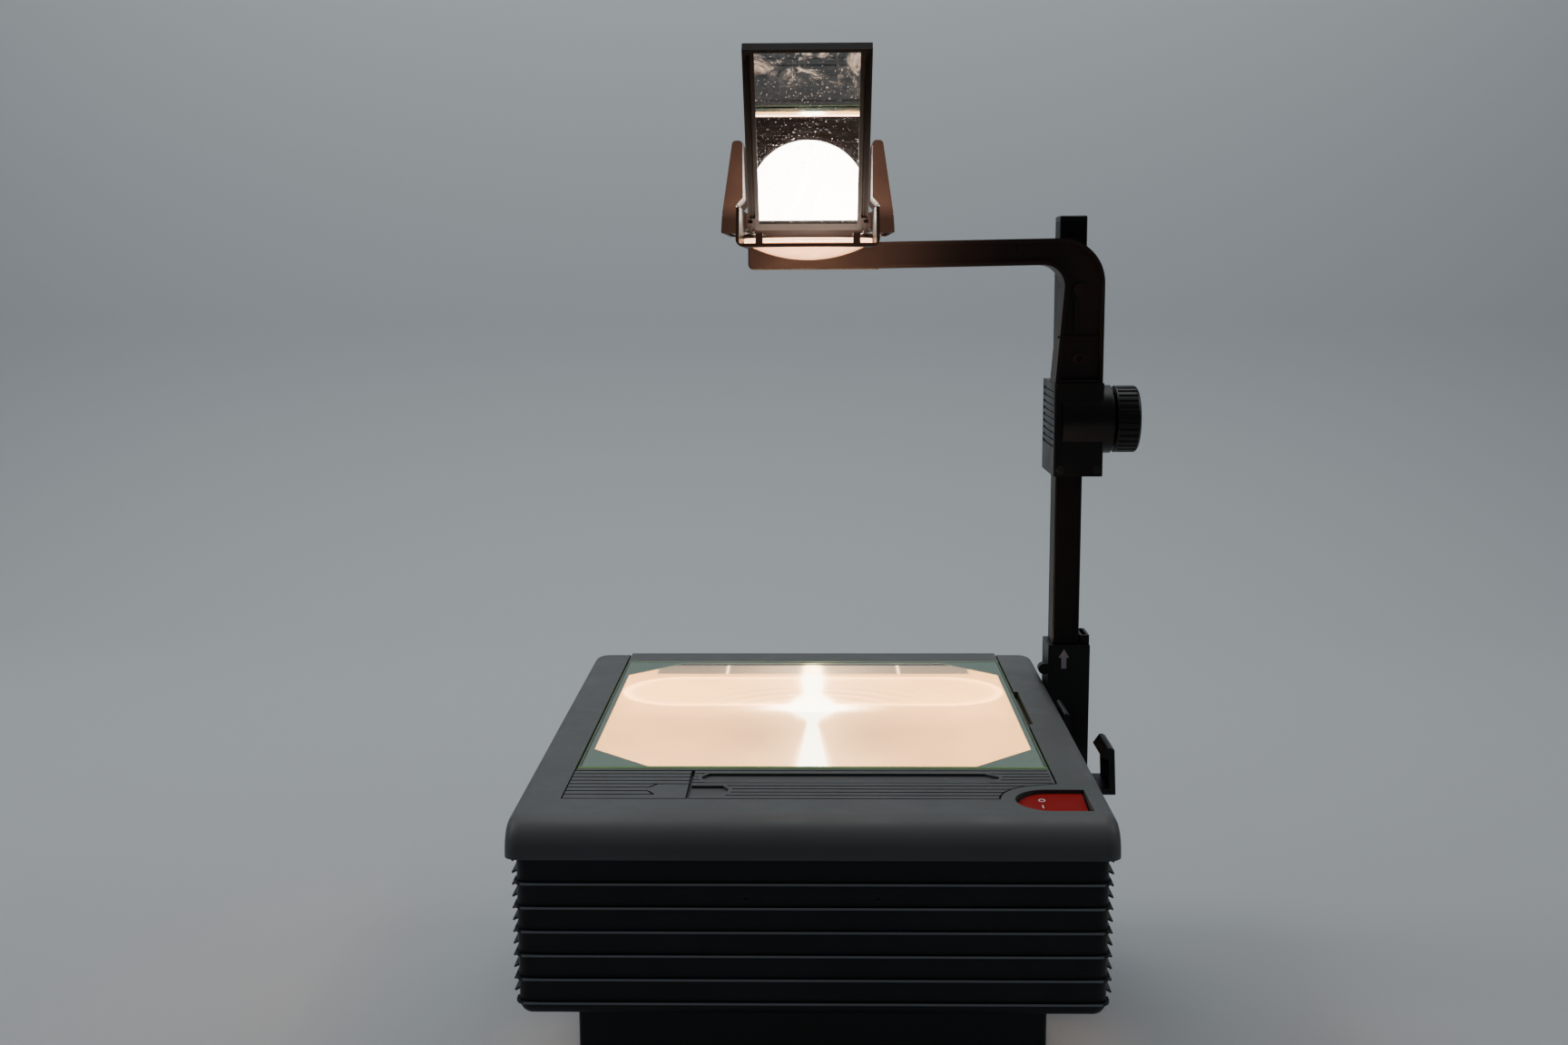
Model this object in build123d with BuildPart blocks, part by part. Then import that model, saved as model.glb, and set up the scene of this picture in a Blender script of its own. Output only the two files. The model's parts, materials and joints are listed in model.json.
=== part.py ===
from build123d import *
from math import acos, cos, pi, radians, sin, sqrt, tan
import os

os.makedirs("parts", exist_ok=True)

# An overhead projector, in millimetres.
# Origin at the centre of the stage glass, on its top face.
# +X towards the post, +Y away from the person using it, +Z up.

# ---------------------------------------------------------------- driving dimensions

# stage
aperture = 285.0          # clear width of the lit stage
corner_cut = 39.0         # each corner of the mask, cut off at 45 degrees
glass_side = 295.0
glass_thick = 4.0
mask_thick = 0.45
fresnel_side = 291.0
fresnel_thick = 2.5

# lid that carries the stage
lid_half = 148.5
lid_rear = 181.0
lid_front = -209.2
lid_top = -1.0
lid_bottom = -9.0
lid_gap = 0.6             # from the lid's edge to the seam line, each side
lid_skin = 5.0
groove_first = -151.9     # grooves across the front strip
groove_pitch = 6.35
groove_width = 1.4
groove_depth = 2.0
recess_depth = 1.7        # pen tray and finger recess
latch_x = (-148.2, -75.2)
latch_rear = -152.9
latch_gap = 2.2           # room for the latch to slide
latch_thick = 3.0
latch_pitch = 7.0
hinge_y = 172.0
hinge_z = -10.0
hinge_radius = 5.0
hinge_pin = 2.0
lug_x = 110.0
lug_width = 12.0
running = 0.05            # radial clearance of a shaft in its bore

# top cover
cover_rear_half = 178.0
cover_front_half = 176.0
cover_rear = 181.0
cover_front = -255.0
cover_top = -1.0
cover_bottom = -23.0
cover_wall = 2.5
front_round = 20.0
edge_round = 8.0
rear_corner = 12.0

# switch
switch_x = 140.5
switch_y = -211.2
switch_radius = 20.6
switch_right = 163.2
switch_pivot_z = -12.0
rocker_tilt = 6.0
rocker_face_z = -5.0
rocker_gap = 1.3
cup_bottom = -13.0

# lower housing
house_half = 170.5
house_front = -248.0
house_rear = 178.0
house_bottom = -120.0
house_wall = 2.5
house_corner = 12.0
front_corner = 7.0
bead_pitch = 14.4
bead_top = -39.4
bead_out = 1.6
bead_thick = 1.3
bead_count = 6
fin_pitch = 7.2
plug_x = 37.5             # plugged screw holes in the front
plug_z = -47.5
plug_radius = 1.5
fin_count = 12
fin_top = -26.3
fin_tip = 175.0
window_z = (-109.0, -25.5)

# lamp house
lamp_half = 140.5
lamp_front = -215.0
lamp_rear = 150.0
lamp_bottom = -217.0
lamp_wall = 2.5
floor_thick = 2.5
foot_height = 8.0
lamp_z = -185.0
fan_z = -166.0
fan_radius = 40.0

# post and its socket
post_x = (182.0, 202.0)
post_y = (87.0, 113.0)
post_z = (-95.0, 344.0)
cap_height = 4.0
slide_gap = 0.25

# carriage, rack and pinion
carriage_x = (176.0, 212.0)
carriage_y = (56.0, 121.0)
carriage_z = (159.0, 227.0)
axle_y = 76.0
axle_z = 199.5
barrel_radius = 25.0
axle_radius = 4.0
gear_module = 1.0
gear_teeth = 24
gear_backlash = 0.35
rack_z = (166.0, 304.0)
rack_x = (188.1, 195.9)

# arm and head
arm_y = (58.0, 86.5)
arm_z = (312.0, 331.0)
arm_right = 211.0
arm_corner = 32.0
arm_fall = 2.0            # of the level run, down to the sleeve
web_y = (62.5, 76.0)
sleeve_x = (-46.0, 48.0)
sleeve_y = (57.0, 87.5)
sleeve_z = (309.4, 329.6)
sleeve_wall = 2.4
head_x = -2.5             # the head hangs this far from the stage's centre
cradle_z = (324.0, 350.0)
cradle_half = 47.0
cradle_front = -60.0
cradle_skin = 2.2
lens_radius = 44.0
lens_hole = 42.2
lens_sag = 10.4
flange_thick = 2.0
mirror_y = 20.5
mirror_z = 334.8
mirror_lean = 49.2        # from the horizontal
tray_half = 41.6
tray_length = 147.0
glass_half = 35.7
pivot_radius = 2.5
lug_radius = 3.2
wing_y = (-50.0, 65.0)
wing_inner = 42.3         # of the upper part, beside the tray
wing_z = (333.0, 392.5)


# ---------------------------------------------------------------- shared steps

def block(x, y, z, mode=Mode.ADD):
    """A box between the low and high limits given for each axis."""
    with Locations(((x[0] + x[1]) / 2, (y[0] + y[1]) / 2, (z[0] + z[1]) / 2)):
        Box(x[1] - x[0], y[1] - y[0], z[1] - z[0], mode=mode)


def rod_x(x, y, z, radius, mode=Mode.ADD):
    with Locations(((x[0] + x[1]) / 2, y, z)):
        Cylinder(radius, x[1] - x[0], rotation=(0, 90, 0), mode=mode)


def rod_y(x, y, z, radius, mode=Mode.ADD):
    with Locations((x, (y[0] + y[1]) / 2, z)):
        Cylinder(radius, y[1] - y[0], rotation=(90, 0, 0), mode=mode)


def rod_z(x, y, z, radius, mode=Mode.ADD):
    with Locations((x, y, (z[0] + z[1]) / 2)):
        Cylinder(radius, z[1] - z[0], mode=mode)


def save(piece, name, shift=0.0):
    """Write a piece to its own file, moved along X by shift."""
    part = piece.part.moved(Location((shift, 0, 0)))
    part.label = name
    export_step(part, f"parts/{name}.step")


def cover_shape(inset, bottom):
    """The cover's outer form, drawn in by inset at the top and sides."""
    with BuildPart() as shape:
        with BuildSketch(Plane.XY.offset(bottom)):
            with BuildLine():
                Polyline(
                    (-cover_rear_half + inset, cover_rear - inset),
                    (cover_rear_half - inset, cover_rear - inset),
                    (cover_front_half - inset, cover_front + inset),
                    (-cover_front_half + inset, cover_front + inset),
                    close=True,
                )
            make_face()
        extrude(amount=cover_top - inset - bottom)
        front_edge = shape.edges().filter_by(Axis.X).group_by(Axis.Z)[-1].sort_by(Axis.Y)[0]
        fillet(front_edge, front_round - inset)
        fillet(shape.edges().filter_by(Axis.Z).group_by(Axis.Y)[-1], rear_corner - inset)
        # this chain of edges runs on, tangent, round the rear to the other side
        side = shape.faces().sort_by(Axis.X)[-1]
        fillet(side.edges().sort_by(Axis.Z)[1:].sort_by(Axis.Y)[:-1], edge_round - inset)
    return shape.part


def lid_plan(grow, rear=lid_rear):
    """Plan of the lid, with its front right corner cut back round the switch."""
    turn = 29.5
    end_angle = radians(110)
    middle_angle = radians(145)
    start = (switch_x - turn, lid_front)
    middle = (switch_x + turn * cos(middle_angle), switch_y + turn * sin(middle_angle))
    end = (switch_x + turn * cos(end_angle), switch_y + turn * sin(end_angle))
    with BuildSketch() as plan:
        with BuildLine():
            Polyline((lid_half, -178.6), (lid_half, rear), (-lid_half, rear), (-lid_half, lid_front), start)
            ThreePointArc(start, middle, end)
            Line(end, (lid_half, -178.6))
        make_face()
        offset(amount=grow, kind=Kind.INTERSECTION)
    return plan.sketch


def switch_plan(grow):
    """The switch's plan: round at the left, square at the right."""
    Circle(switch_radius + grow)
    width = switch_right - switch_x + grow
    with Locations((width / 2, 0)):
        Rectangle(width, 2 * (switch_radius + grow))


def house_shape(inset, bottom, top):
    """The lower housing's outer form, drawn in by inset."""
    with BuildPart() as shape:
        block(
            (-house_half + inset, house_half - inset),
            (house_front + inset, house_rear - inset),
            (bottom, top),
        )
        fillet(shape.edges().filter_by(Axis.Z).group_by(Axis.Y)[0], front_corner - inset)
        fillet(shape.edges().filter_by(Axis.Z).group_by(Axis.Y)[-1], front_corner - inset)
        sides = shape.faces().filter_by(Axis.X).group_by(Axis.X)
        low_edges = [side[0].edges().filter_by(Axis.Y).sort_by(Axis.Z)[0] for side in (sides[0], sides[-1])]
        fillet(low_edges, 8.0 - inset)
    return shape.part


# ---------------------------------------------------------------- the cover and the lower housing

with BuildPart() as top_cover:
    add(cover_shape(0, cover_bottom))
    add(cover_shape(cover_wall, cover_bottom - 1), mode=Mode.SUBTRACT)
    with BuildSketch(Plane.XY.offset(-14)):
        add(lid_plan(lid_gap, rear=lid_rear + 6))
    extrude(amount=15, mode=Mode.SUBTRACT)
    # skirt and ledge that the lid closes on
    for side in (-1, 1):
        inner = sorted((side * (lid_half + lid_gap), side * (lid_half + lid_gap + cover_wall)))
        shelf = sorted((side * 145.0, side * (lid_half + lid_gap + cover_wall)))
        block(inner, (-176, lid_rear - cover_wall), (-12, -3))
        block(shelf, (-150, 160), (-12, -9.3))
    front_skirt = lid_front - lid_gap
    block((-151.5, 104), (front_skirt - cover_wall, front_skirt), (-12, -3))
    block((-151.5, 104), (front_skirt - cover_wall, front_skirt + 3.8), (-12, -9.3))
    block((-151.5, -149), (front_skirt - 1.5, -170), (-12, -3))
    # cup round the switch
    with BuildSketch(Plane.XY.offset(cup_bottom)):
        with Locations((switch_x, switch_y)):
            switch_plan(2.0)
    extrude(amount=cover_top - 1 - cup_bottom)
    with BuildSketch(Plane.XY.offset(cup_bottom - 0.5)):
        with Locations((switch_x, switch_y)):
            switch_plan(0)
    extrude(amount=20, mode=Mode.SUBTRACT)
    # finger slot beside the glass
    block((lid_half + lid_gap - 0.5, lid_half + 3.5), (-41, 51), (-6, 1), Mode.SUBTRACT)
save(top_cover, "top_cover")

with BuildPart() as lower_housing:
    add(house_shape(0, house_bottom, cover_bottom))
    add(house_shape(house_wall, house_bottom + house_wall, cover_bottom + 1), mode=Mode.SUBTRACT)
    # thin raised beads round the front
    for i in range(bead_count):
        with BuildSketch(Plane.XY.offset(bead_top - i * bead_pitch - bead_thick / 2)) as bead:
            with Locations((0, house_front + 5 - bead_out / 2)):
                Rectangle(2 * (house_half + bead_out), 10 + bead_out)
            fillet(bead.vertices().group_by(Axis.Y)[0], front_corner)
            with Locations((0, house_front + 15)):
                Rectangle(2 * house_half - 2, 28, mode=Mode.SUBTRACT)
        extrude(amount=bead_thick)
    # opening down into the lamp house
    block((-134, 134), (-212, 147), (house_bottom - 1, house_bottom + 4), Mode.SUBTRACT)
    # windows for the louvres
    block((house_half - 4, house_half + 3), (-234, -14), window_z, Mode.SUBTRACT)
    block((-house_half - 3, -house_half + 4), (-234, 150), window_z, Mode.SUBTRACT)
    # bearings of the lid's hinge, rising from the rear wall
    for x in (-lug_x - 11, -lug_x + 11, lug_x - 11, lug_x + 11):
        block((x - 3, x + 3), (168, house_rear - 1), (-40, hinge_z))
        rod_x((x - 3, x + 3), hinge_y, hinge_z, 4.5)
        rod_x((x - 4, x + 4), hinge_y, hinge_z, hinge_pin, Mode.SUBTRACT)
    # holes for the screws under the floor and the plugs in the front
    for x in (-152, 152):
        for y in (-230, 163):
            rod_z(x, y, (house_bottom - 1, house_bottom + 4), 2.0, Mode.SUBTRACT)
    for x in (-plug_x, plug_x):
        rod_y(x, (house_front - 1, house_front + 4), plug_z, plug_radius, Mode.SUBTRACT)
save(lower_housing, "lower_housing")


def louvre_panel(side, y_range):
    """Sloping fins on an inner frame that lies against the housing's wall."""
    wall = house_half - house_wall
    y0, y1 = y_range
    with BuildPart() as panel:
        frame_x = sorted((side * (wall - 2), side * wall))
        block(frame_x, (y0 - 3, y1 + 3), (window_z[0] - 1.8, window_z[1] + 1.5))
        block(frame_x, (y0 + 0.8, y1 - 0.8), (window_z[0] + 1, window_z[1] - 1), Mode.SUBTRACT)
        with BuildSketch(Plane.XZ.offset(-(y1 - 0.3))):
            for i in range(fin_count):
                z = fin_top - i * fin_pitch
                with BuildLine():
                    Polyline(
                        (side * (wall - 2), z),
                        (side * (wall - 0.2), z),
                        (side * fin_tip, z - 4.2),
                        (side * (fin_tip - 0.4), z - 5.0),
                        (side * (wall - 0.2), z - 1.8),
                        (side * (wall - 2), z - 1.8),
                        close=True,
                    )
                make_face()
        extrude(amount=y1 - y0 - 0.6)
        post_count = 3
        for i in range(1, post_count + 1):
            y = y0 + i * (y1 - y0) / (post_count + 1)
            block(frame_x, (y - 2, y + 2), window_z)
    return panel


louvre_right = louvre_panel(1, (-234, -14))
save(louvre_right, "louvre_right")
louvre_left = louvre_panel(-1, (-234, 150))
save(louvre_left, "louvre_left")

with BuildPart() as front_plugs:
    for x in (-plug_x, plug_x):
        rod_y(x, (house_front + 0.8, house_front + 2.5), plug_z, plug_radius)
save(front_plugs, "front_plugs")

with BuildPart() as housing_screws:
    for x in (-152, 152):
        for y in (-230, 163):
            rod_z(x, y, (house_bottom - 2.2, house_bottom), 4.0)
            rod_z(x, y, (house_bottom, house_bottom + 6), 2.0)
            block((x - 3, x + 3), (y - 0.5, y + 0.5), (house_bottom - 3, house_bottom - 1.4), Mode.SUBTRACT)
save(housing_screws, "housing_screws")

with BuildPart() as hinge_pins:
    for x in (-lug_x, lug_x):
        rod_x((x - 15, x + 15), hinge_y, hinge_z, hinge_pin)
save(hinge_pins, "hinge_pins")

# ---------------------------------------------------------------- the lid and the stage

def pen_tray_plan(grow):
    with BuildSketch() as plan:
        with BuildLine():
            Polyline(
                (-64, -158),
                (107, -158),
                (115, -164.5),
                (115, -168.5),
                (107, -175),
                (-64, -175),
                (-68, -168.5),
                (-68, -164.5),
                close=True,
            )
        make_face()
        offset(amount=grow, kind=Kind.INTERSECTION)
    return plan.sketch


def finger_plan(grow):
    with BuildSketch() as plan:
        with BuildLine():
            Polyline(
                (latch_x[1], -183.5),
                (-54, -183.5),
                (-50.5, -190),
                (-50.5, -194.5),
                (-54, -202),
                (latch_x[1], -202),
                close=True,
            )
        make_face()
        offset(amount=grow, kind=Kind.INTERSECTION)
    return plan.sketch


with BuildPart() as lid_frame:
    with BuildSketch(Plane.XY.offset(lid_bottom)):
        add(lid_plan(-lid_gap))
    extrude(amount=lid_top - lid_bottom)
    # the glass spans the whole width, on a step
    block((-150, 150), (-147.8, 147.8), (-glass_thick, 0), Mode.SUBTRACT)
    block((-143.5, 143.5), (-143.5, 143.5), (lid_bottom - 1, 0), Mode.SUBTRACT)
    block((-146, 146), (-146, 146), (-glass_thick - 0.5, 0), Mode.SUBTRACT)
    block((-146, 146), (-146, 146), (lid_bottom - 1, -6), Mode.SUBTRACT)
    # hollow under the front and the rear strips
    hollow_top = lid_top - lid_skin
    block((-145, 108), (lid_front + 3.5, -150), (lid_bottom - 1, hollow_top), Mode.SUBTRACT)
    block((-145, 145), (150, 164), (lid_bottom - 1, lid_top - 3), Mode.SUBTRACT)
    block((-150, 150), (164, lid_rear + 1), (lid_bottom - 1, lid_top - 3), Mode.SUBTRACT)
    # hinge lugs
    for x in (-lug_x, lug_x):
        rod_x((x - lug_width / 2, x + lug_width / 2), hinge_y, hinge_z, hinge_radius)
        block(
            (x - lug_width / 2, x + lug_width / 2),
            (hinge_y - hinge_radius, hinge_y + hinge_radius),
            (hinge_z, lid_top - 3),
        )
        rod_x((x - 10, x + 10), hinge_y, hinge_z, hinge_pin + running, Mode.SUBTRACT)
    # grooves across the front strip
    for i in range(9):
        y = groove_first - i * groove_pitch
        block(
            (-lid_half, 146.5),
            (y - groove_width / 2, y + groove_width / 2),
            (lid_top - groove_depth, 0),
            Mode.SUBTRACT,
        )
    # smooth ground round the two recesses
    with BuildSketch(Plane.XY.offset(lid_top - groove_depth - 1)):
        add(pen_tray_plan(2.2))
        add(finger_plan(2.2))
    extrude(amount=groove_depth + 1)
    # pocket for the latch, with a slot for its tongue
    block(
        (-150, latch_x[1] + latch_gap),
        (lid_front - 1, latch_rear + 0.6),
        (lid_top - latch_thick - 0.1, 0),
        Mode.SUBTRACT,
    )
    block((-121, -106), (-191, -179), (lid_bottom - 1, 0), Mode.SUBTRACT)
    with BuildSketch(Plane.XY.offset(lid_top - recess_depth)):
        add(pen_tray_plan(0))
        add(finger_plan(0))
    extrude(amount=recess_depth + 1, mode=Mode.SUBTRACT)
save(lid_frame, "lid_frame")

with BuildPart() as stage_glass:
    block((-glass_side / 2, glass_side / 2), (-glass_side / 2, glass_side / 2), (-glass_thick, 0))
    chamfer(stage_glass.edges().group_by(Axis.Z)[-1], 0.6)
save(stage_glass, "stage_glass")

with BuildPart() as stage_mask:
    with BuildSketch(Plane.XY.offset(-glass_thick - mask_thick)):
        Rectangle(291, 291)
        with BuildSketch(mode=Mode.SUBTRACT) as hole:
            Rectangle(aperture, aperture)
            chamfer(hole.vertices(), corner_cut)
    extrude(amount=mask_thick)
save(stage_mask, "stage_mask")

with BuildPart() as fresnel_lens:
    half = fresnel_side / 2
    block((-half, half), (-half, half), (-6 - fresnel_thick, -6))
    # the first rings of the grooved side
    with BuildSketch(Plane.XY.offset(-6 - fresnel_thick)):
        for radius in range(20, 141, 20):
            Circle(radius)
            Circle(radius - 0.8, mode=Mode.SUBTRACT)
    extrude(amount=0.6, mode=Mode.SUBTRACT)
save(fresnel_lens, "fresnel_lens")

with BuildPart() as fresnel_retainers:
    for x in (-90, 0, 90):
        for y in (-146.5, 146.5):
            block((x - 8, x + 8), (y - 3, y + 3), (-10, -9))
            inner_y = sorted((y - 2.5 if y > 0 else y + 2.5, y - 0.7 if y > 0 else y + 0.7))
            block((x - 8, x + 8), inner_y, (-9, -8.5))
save(fresnel_retainers, "fresnel_retainers")

latch_bottom = lid_top - latch_thick
with BuildPart() as latch_plate:
    block(latch_x, (lid_front + lid_gap, latch_rear), (latch_bottom, lid_top))
    block((-119.5, -110.5), (-189, -181), (-8.5, latch_bottom))
    # its own grooves end at a smooth thumb pad
    for i in range(1, 8):
        y = groove_first - i * latch_pitch
        end = latch_x[1] + 1
        if i in (5, 6):
            end = -98.6
        if i == 7:
            end = -94.5
        block(
            (latch_x[0] - 1, end),
            (y - groove_width / 2, y + groove_width / 2),
            (lid_top - groove_depth, 0),
            Mode.SUBTRACT,
        )
    # the pad's slanting corners
    for run in (((-98.6, -187), (-94.5, -180.3)), ((-98.6, -194.3), (-94.5, -201.4))):
        with BuildSketch(Plane.XY.offset(lid_top - groove_depth)):
            with BuildLine():
                Line(*run)
            trace(line_width=groove_width)
        extrude(amount=2, mode=Mode.SUBTRACT)
save(latch_plate, "latch_plate")

# ---------------------------------------------------------------- the switch

pivot_drop = rocker_face_z - switch_pivot_z
lean = radians(rocker_tilt)
face_plane = Plane(
    origin=(switch_x, switch_y - pivot_drop * sin(lean), switch_pivot_z + pivot_drop * cos(lean)),
    x_dir=(1, 0, 0),
    z_dir=(0, -sin(lean), cos(lean)),
)
with BuildPart() as power_rocker:
    with BuildSketch(face_plane.offset(-3)):
        switch_plan(-rocker_gap)
    extrude(amount=3)
    with BuildSketch(face_plane.offset(-13)):
        Rectangle(16, 11)
    extrude(amount=11)
    rod_x((switch_x - 11, switch_x + 11), switch_y, switch_pivot_z, 1.5)
save(power_rocker, "power_rocker")

with BuildPart() as rocker_marks:
    with BuildSketch(face_plane):
        with Locations((-3.9, 9.5)):
            Circle(2.1)
            Circle(1.5, mode=Mode.SUBTRACT)
        with Locations((-4.3, 0.4)):
            Rectangle(0.8, 4.4)
    extrude(amount=0.2)
save(rocker_marks, "rocker_marks")

with BuildPart() as switch_body:
    block((switch_x - 12.5, switch_x + 15.5), (switch_y - 16, switch_y + 16), (-46, cup_bottom - 2))
    block((switch_x - 21, switch_x + 23), (switch_y - 21.5, switch_y + 21.5), (cup_bottom - 2, cup_bottom))
    for x in (switch_x - 11.5, switch_x + 8.3):
        block((x, x + 3.2), (switch_y - 3, switch_y + 3), (cup_bottom, switch_pivot_z))
        rod_x((x, x + 3.2), switch_y, switch_pivot_z, 3.0)
    block((switch_x - 8.3, switch_x + 8.3), (switch_y - 8.5, switch_y + 8.5), (-21, -8), Mode.SUBTRACT)
    rod_x((switch_x - 14, switch_x + 14), switch_y, switch_pivot_z, 1.5 + running, Mode.SUBTRACT)
    for x in (-6, 6):
        block((switch_x + x - 0.4, switch_x + x + 0.4), (switch_y - 3, switch_y + 3), (-54, -46))
save(switch_body, "switch_body")

# ---------------------------------------------------------------- the lamp house

with BuildPart() as lamp_house:
    block((-lamp_half, lamp_half), (lamp_front, lamp_rear), (lamp_bottom + floor_thick, house_bottom))
    fillet(lamp_house.edges().filter_by(Axis.Z), 3)
    block(
        (-lamp_half + lamp_wall, lamp_half - lamp_wall),
        (lamp_front + lamp_wall, lamp_rear - lamp_wall),
        (lamp_bottom, house_bottom + 1),
        Mode.SUBTRACT,
    )
    # air slots in both sides
    for i in range(10):
        y = -150 + i * 14
        block((-lamp_half - 1, lamp_half + 1), (y - 2, y + 2), (-190, -140), Mode.SUBTRACT)
    # ring slots in front of the fan
    with BuildSketch(Plane.XZ.offset(-lamp_rear - 1)) as grille:
        for radius in (38, 30, 22):
            with Locations((0, fan_z)):
                Circle(radius)
                Circle(radius - 4.5, mode=Mode.SUBTRACT)
        with Locations((0, fan_z)):
            Rectangle(90, 3, mode=Mode.SUBTRACT)
            Rectangle(3, 90, mode=Mode.SUBTRACT)
    extrude(amount=lamp_wall + 2, mode=Mode.SUBTRACT)
    block((72, 98), (lamp_rear - 4, lamp_rear + 1), (-186, -166), Mode.SUBTRACT)
save(lamp_house, "lamp_house")

foot_places = [(x, y) for x in (-112, 112) for y in (-188, 123)]
with BuildPart() as lamp_house_floor:
    block((-lamp_half, lamp_half), (lamp_front, lamp_rear), (lamp_bottom, lamp_bottom + floor_thick))
    fillet(lamp_house_floor.edges().filter_by(Axis.Z), 3)
    for x, y in foot_places:
        rod_z(x, y, (lamp_bottom - 1, lamp_bottom + 4), 2.0, Mode.SUBTRACT)
    for i in range(7):
        y = -180 + i * 12
        block((-45, 45), (y - 2, y + 2), (lamp_bottom - 1, lamp_bottom + 4), Mode.SUBTRACT)
save(lamp_house_floor, "lamp_house_floor")

foot_bottom = lamp_bottom - foot_height
with BuildPart() as rubber_feet:
    for x, y in foot_places:
        with Locations((x, y, lamp_bottom - foot_height / 2)):
            Cone(9.5, 12, foot_height)
        rod_z(x, y, (foot_bottom - 1, foot_bottom + 4.5), 5.0, Mode.SUBTRACT)
        rod_z(x, y, (foot_bottom, lamp_bottom + 1), 2.0, Mode.SUBTRACT)
save(rubber_feet, "rubber_feet")

with BuildPart() as foot_screws:
    for x, y in foot_places:
        rod_z(x, y, (foot_bottom + 2, foot_bottom + 4.5), 4.2)
        rod_z(x, y, (foot_bottom + 4.5, lamp_bottom + floor_thick + 3), 2.0)
save(foot_screws, "foot_screws")

deck = lamp_bottom + floor_thick
core_x = (-128.0, -64.0)
limb = (core_x[1] - core_x[0]) / 6
core_top = deck + 54
with BuildPart() as transformer_core:
    block(core_x, (-35, 15), (deck, core_top))
    for start in (limb, 4 * limb):
        window = (core_x[0] + start, core_x[0] + start + limb)
        block(window, (-36, 16), (deck + limb, core_top - limb), Mode.SUBTRACT)
save(transformer_core, "transformer_core")

with BuildPart() as transformer_coil:
    block((core_x[0] + limb + 0.2, core_x[1] - limb - 0.2), (-47, 27), (deck + limb + 0.2, core_top - limb - 0.2))
    block((core_x[0] + 2 * limb - 0.2, core_x[1] - 2 * limb + 0.2), (-35.2, 15.2), (deck, core_top), Mode.SUBTRACT)
save(transformer_coil, "transformer_coil")

shelf_z = -160.0
upper_shelf_z = -141.8
with BuildPart() as lamp_bracket:
    block((-46, 46), (-25, 25), (deck, deck + 2))
    for side in (-1, 1):
        block(sorted((side * 44, side * 46)), (-25, 25), (deck, upper_shelf_z + 1.8))
    for z in (shelf_z, upper_shelf_z):
        block((-44, 44), (-42, 42), (z, z + 1.8))
        rod_z(0, 0, (z - 1, z + 3), 35, Mode.SUBTRACT)
save(lamp_bracket, "lamp_bracket")

condenser_z = shelf_z + 1.8
with BuildPart() as condenser_lens:
    dome = 10.0
    rim = 37.5
    sphere_radius = (rim ** 2 + dome ** 2) / (2 * dome)
    rod_z(0, 0, (condenser_z, condenser_z + 3), rim)
    with Locations((0, 0, condenser_z + 3 + dome - sphere_radius)):
        Sphere(sphere_radius)
    rod_z(0, 0, (condenser_z - 300, condenser_z), 200, Mode.SUBTRACT)
    with BuildSketch(Plane.XY.offset(condenser_z)):
        Circle(200)
        Circle(rim, mode=Mode.SUBTRACT)
    extrude(amount=20, mode=Mode.SUBTRACT)
save(condenser_lens, "condenser_lens")

with BuildPart() as heat_glass:
    block((-38, 38), (-38, 38), (upper_shelf_z + 1.8, upper_shelf_z + 4.8))
    chamfer(heat_glass.edges().filter_by(Axis.Z), 4)
save(heat_glass, "heat_glass")

with BuildPart() as reflector:
    with Locations((0, 0, lamp_z)):
        Sphere(25.5)
    rod_z(0, 0, (deck + 2, deck + 12), 5)
    with Locations((0, 0, lamp_z)):
        Sphere(24, mode=Mode.SUBTRACT)
    rod_z(0, 0, (lamp_z - 8, lamp_z + 30), 40, Mode.SUBTRACT)
save(reflector, "reflector")

with BuildPart() as lamp_socket:
    block((-12, 12), (-58, -30), (deck, lamp_z + 8))
    for x in (-3, 3):
        rod_y(x, (-40, -29), lamp_z, 0.7, Mode.SUBTRACT)
    block((-13, 13), (-59, -50), (lamp_z - 6, lamp_z + 9), Mode.SUBTRACT)
save(lamp_socket, "lamp_socket")

with BuildPart() as lamp_bulb:
    rod_y(0, (-24, 8), lamp_z, 6.5)
    fillet(lamp_bulb.edges().filter_by(GeomType.CIRCLE).sort_by(Axis.Y)[-1], 5.5)
    block((-5.5, 5.5), (-30, -22), (lamp_z - 2, lamp_z + 2))
    for x in (-3, 3):
        rod_y(x, (-39, -29), lamp_z, 0.7)
save(lamp_bulb, "lamp_bulb")

with BuildPart() as thermal_cutout:
    block((46, 53), (-9, 9), (-186, -168))
    for y in (-5, 5):
        block((48, 49), (y - 1.5, y + 1.5), (-168, -161))
save(thermal_cutout, "thermal_cutout")

with BuildPart() as terminal_block:
    block((66, 116), (60, 82), (deck, deck + 17))
    for i in range(5):
        rod_z(71 + i * 10, 71, (deck + 9, deck + 18), 2.6, Mode.SUBTRACT)
save(terminal_block, "terminal_block")

inlet_x = (72.0, 98.0)
inlet_z = (-186.0, -166.0)
inlet_mid_z = (inlet_z[0] + inlet_z[1]) / 2
with BuildPart() as power_inlet:
    block(inlet_x, (130, lamp_rear), inlet_z)
    block((66, 104), (lamp_rear, lamp_rear + 2.5), (-190, -162))
    block((73, 97), (134, lamp_rear + 3), (-184.5, -167.5), Mode.SUBTRACT)
    for x, z in ((78, -178), (85, -174), (92, -178)):
        block((x - 1, x + 1), (133, lamp_rear - 3), (z - 2, z + 2))
save(power_inlet, "power_inlet")

# ---------------------------------------------------------------- the fan

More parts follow.
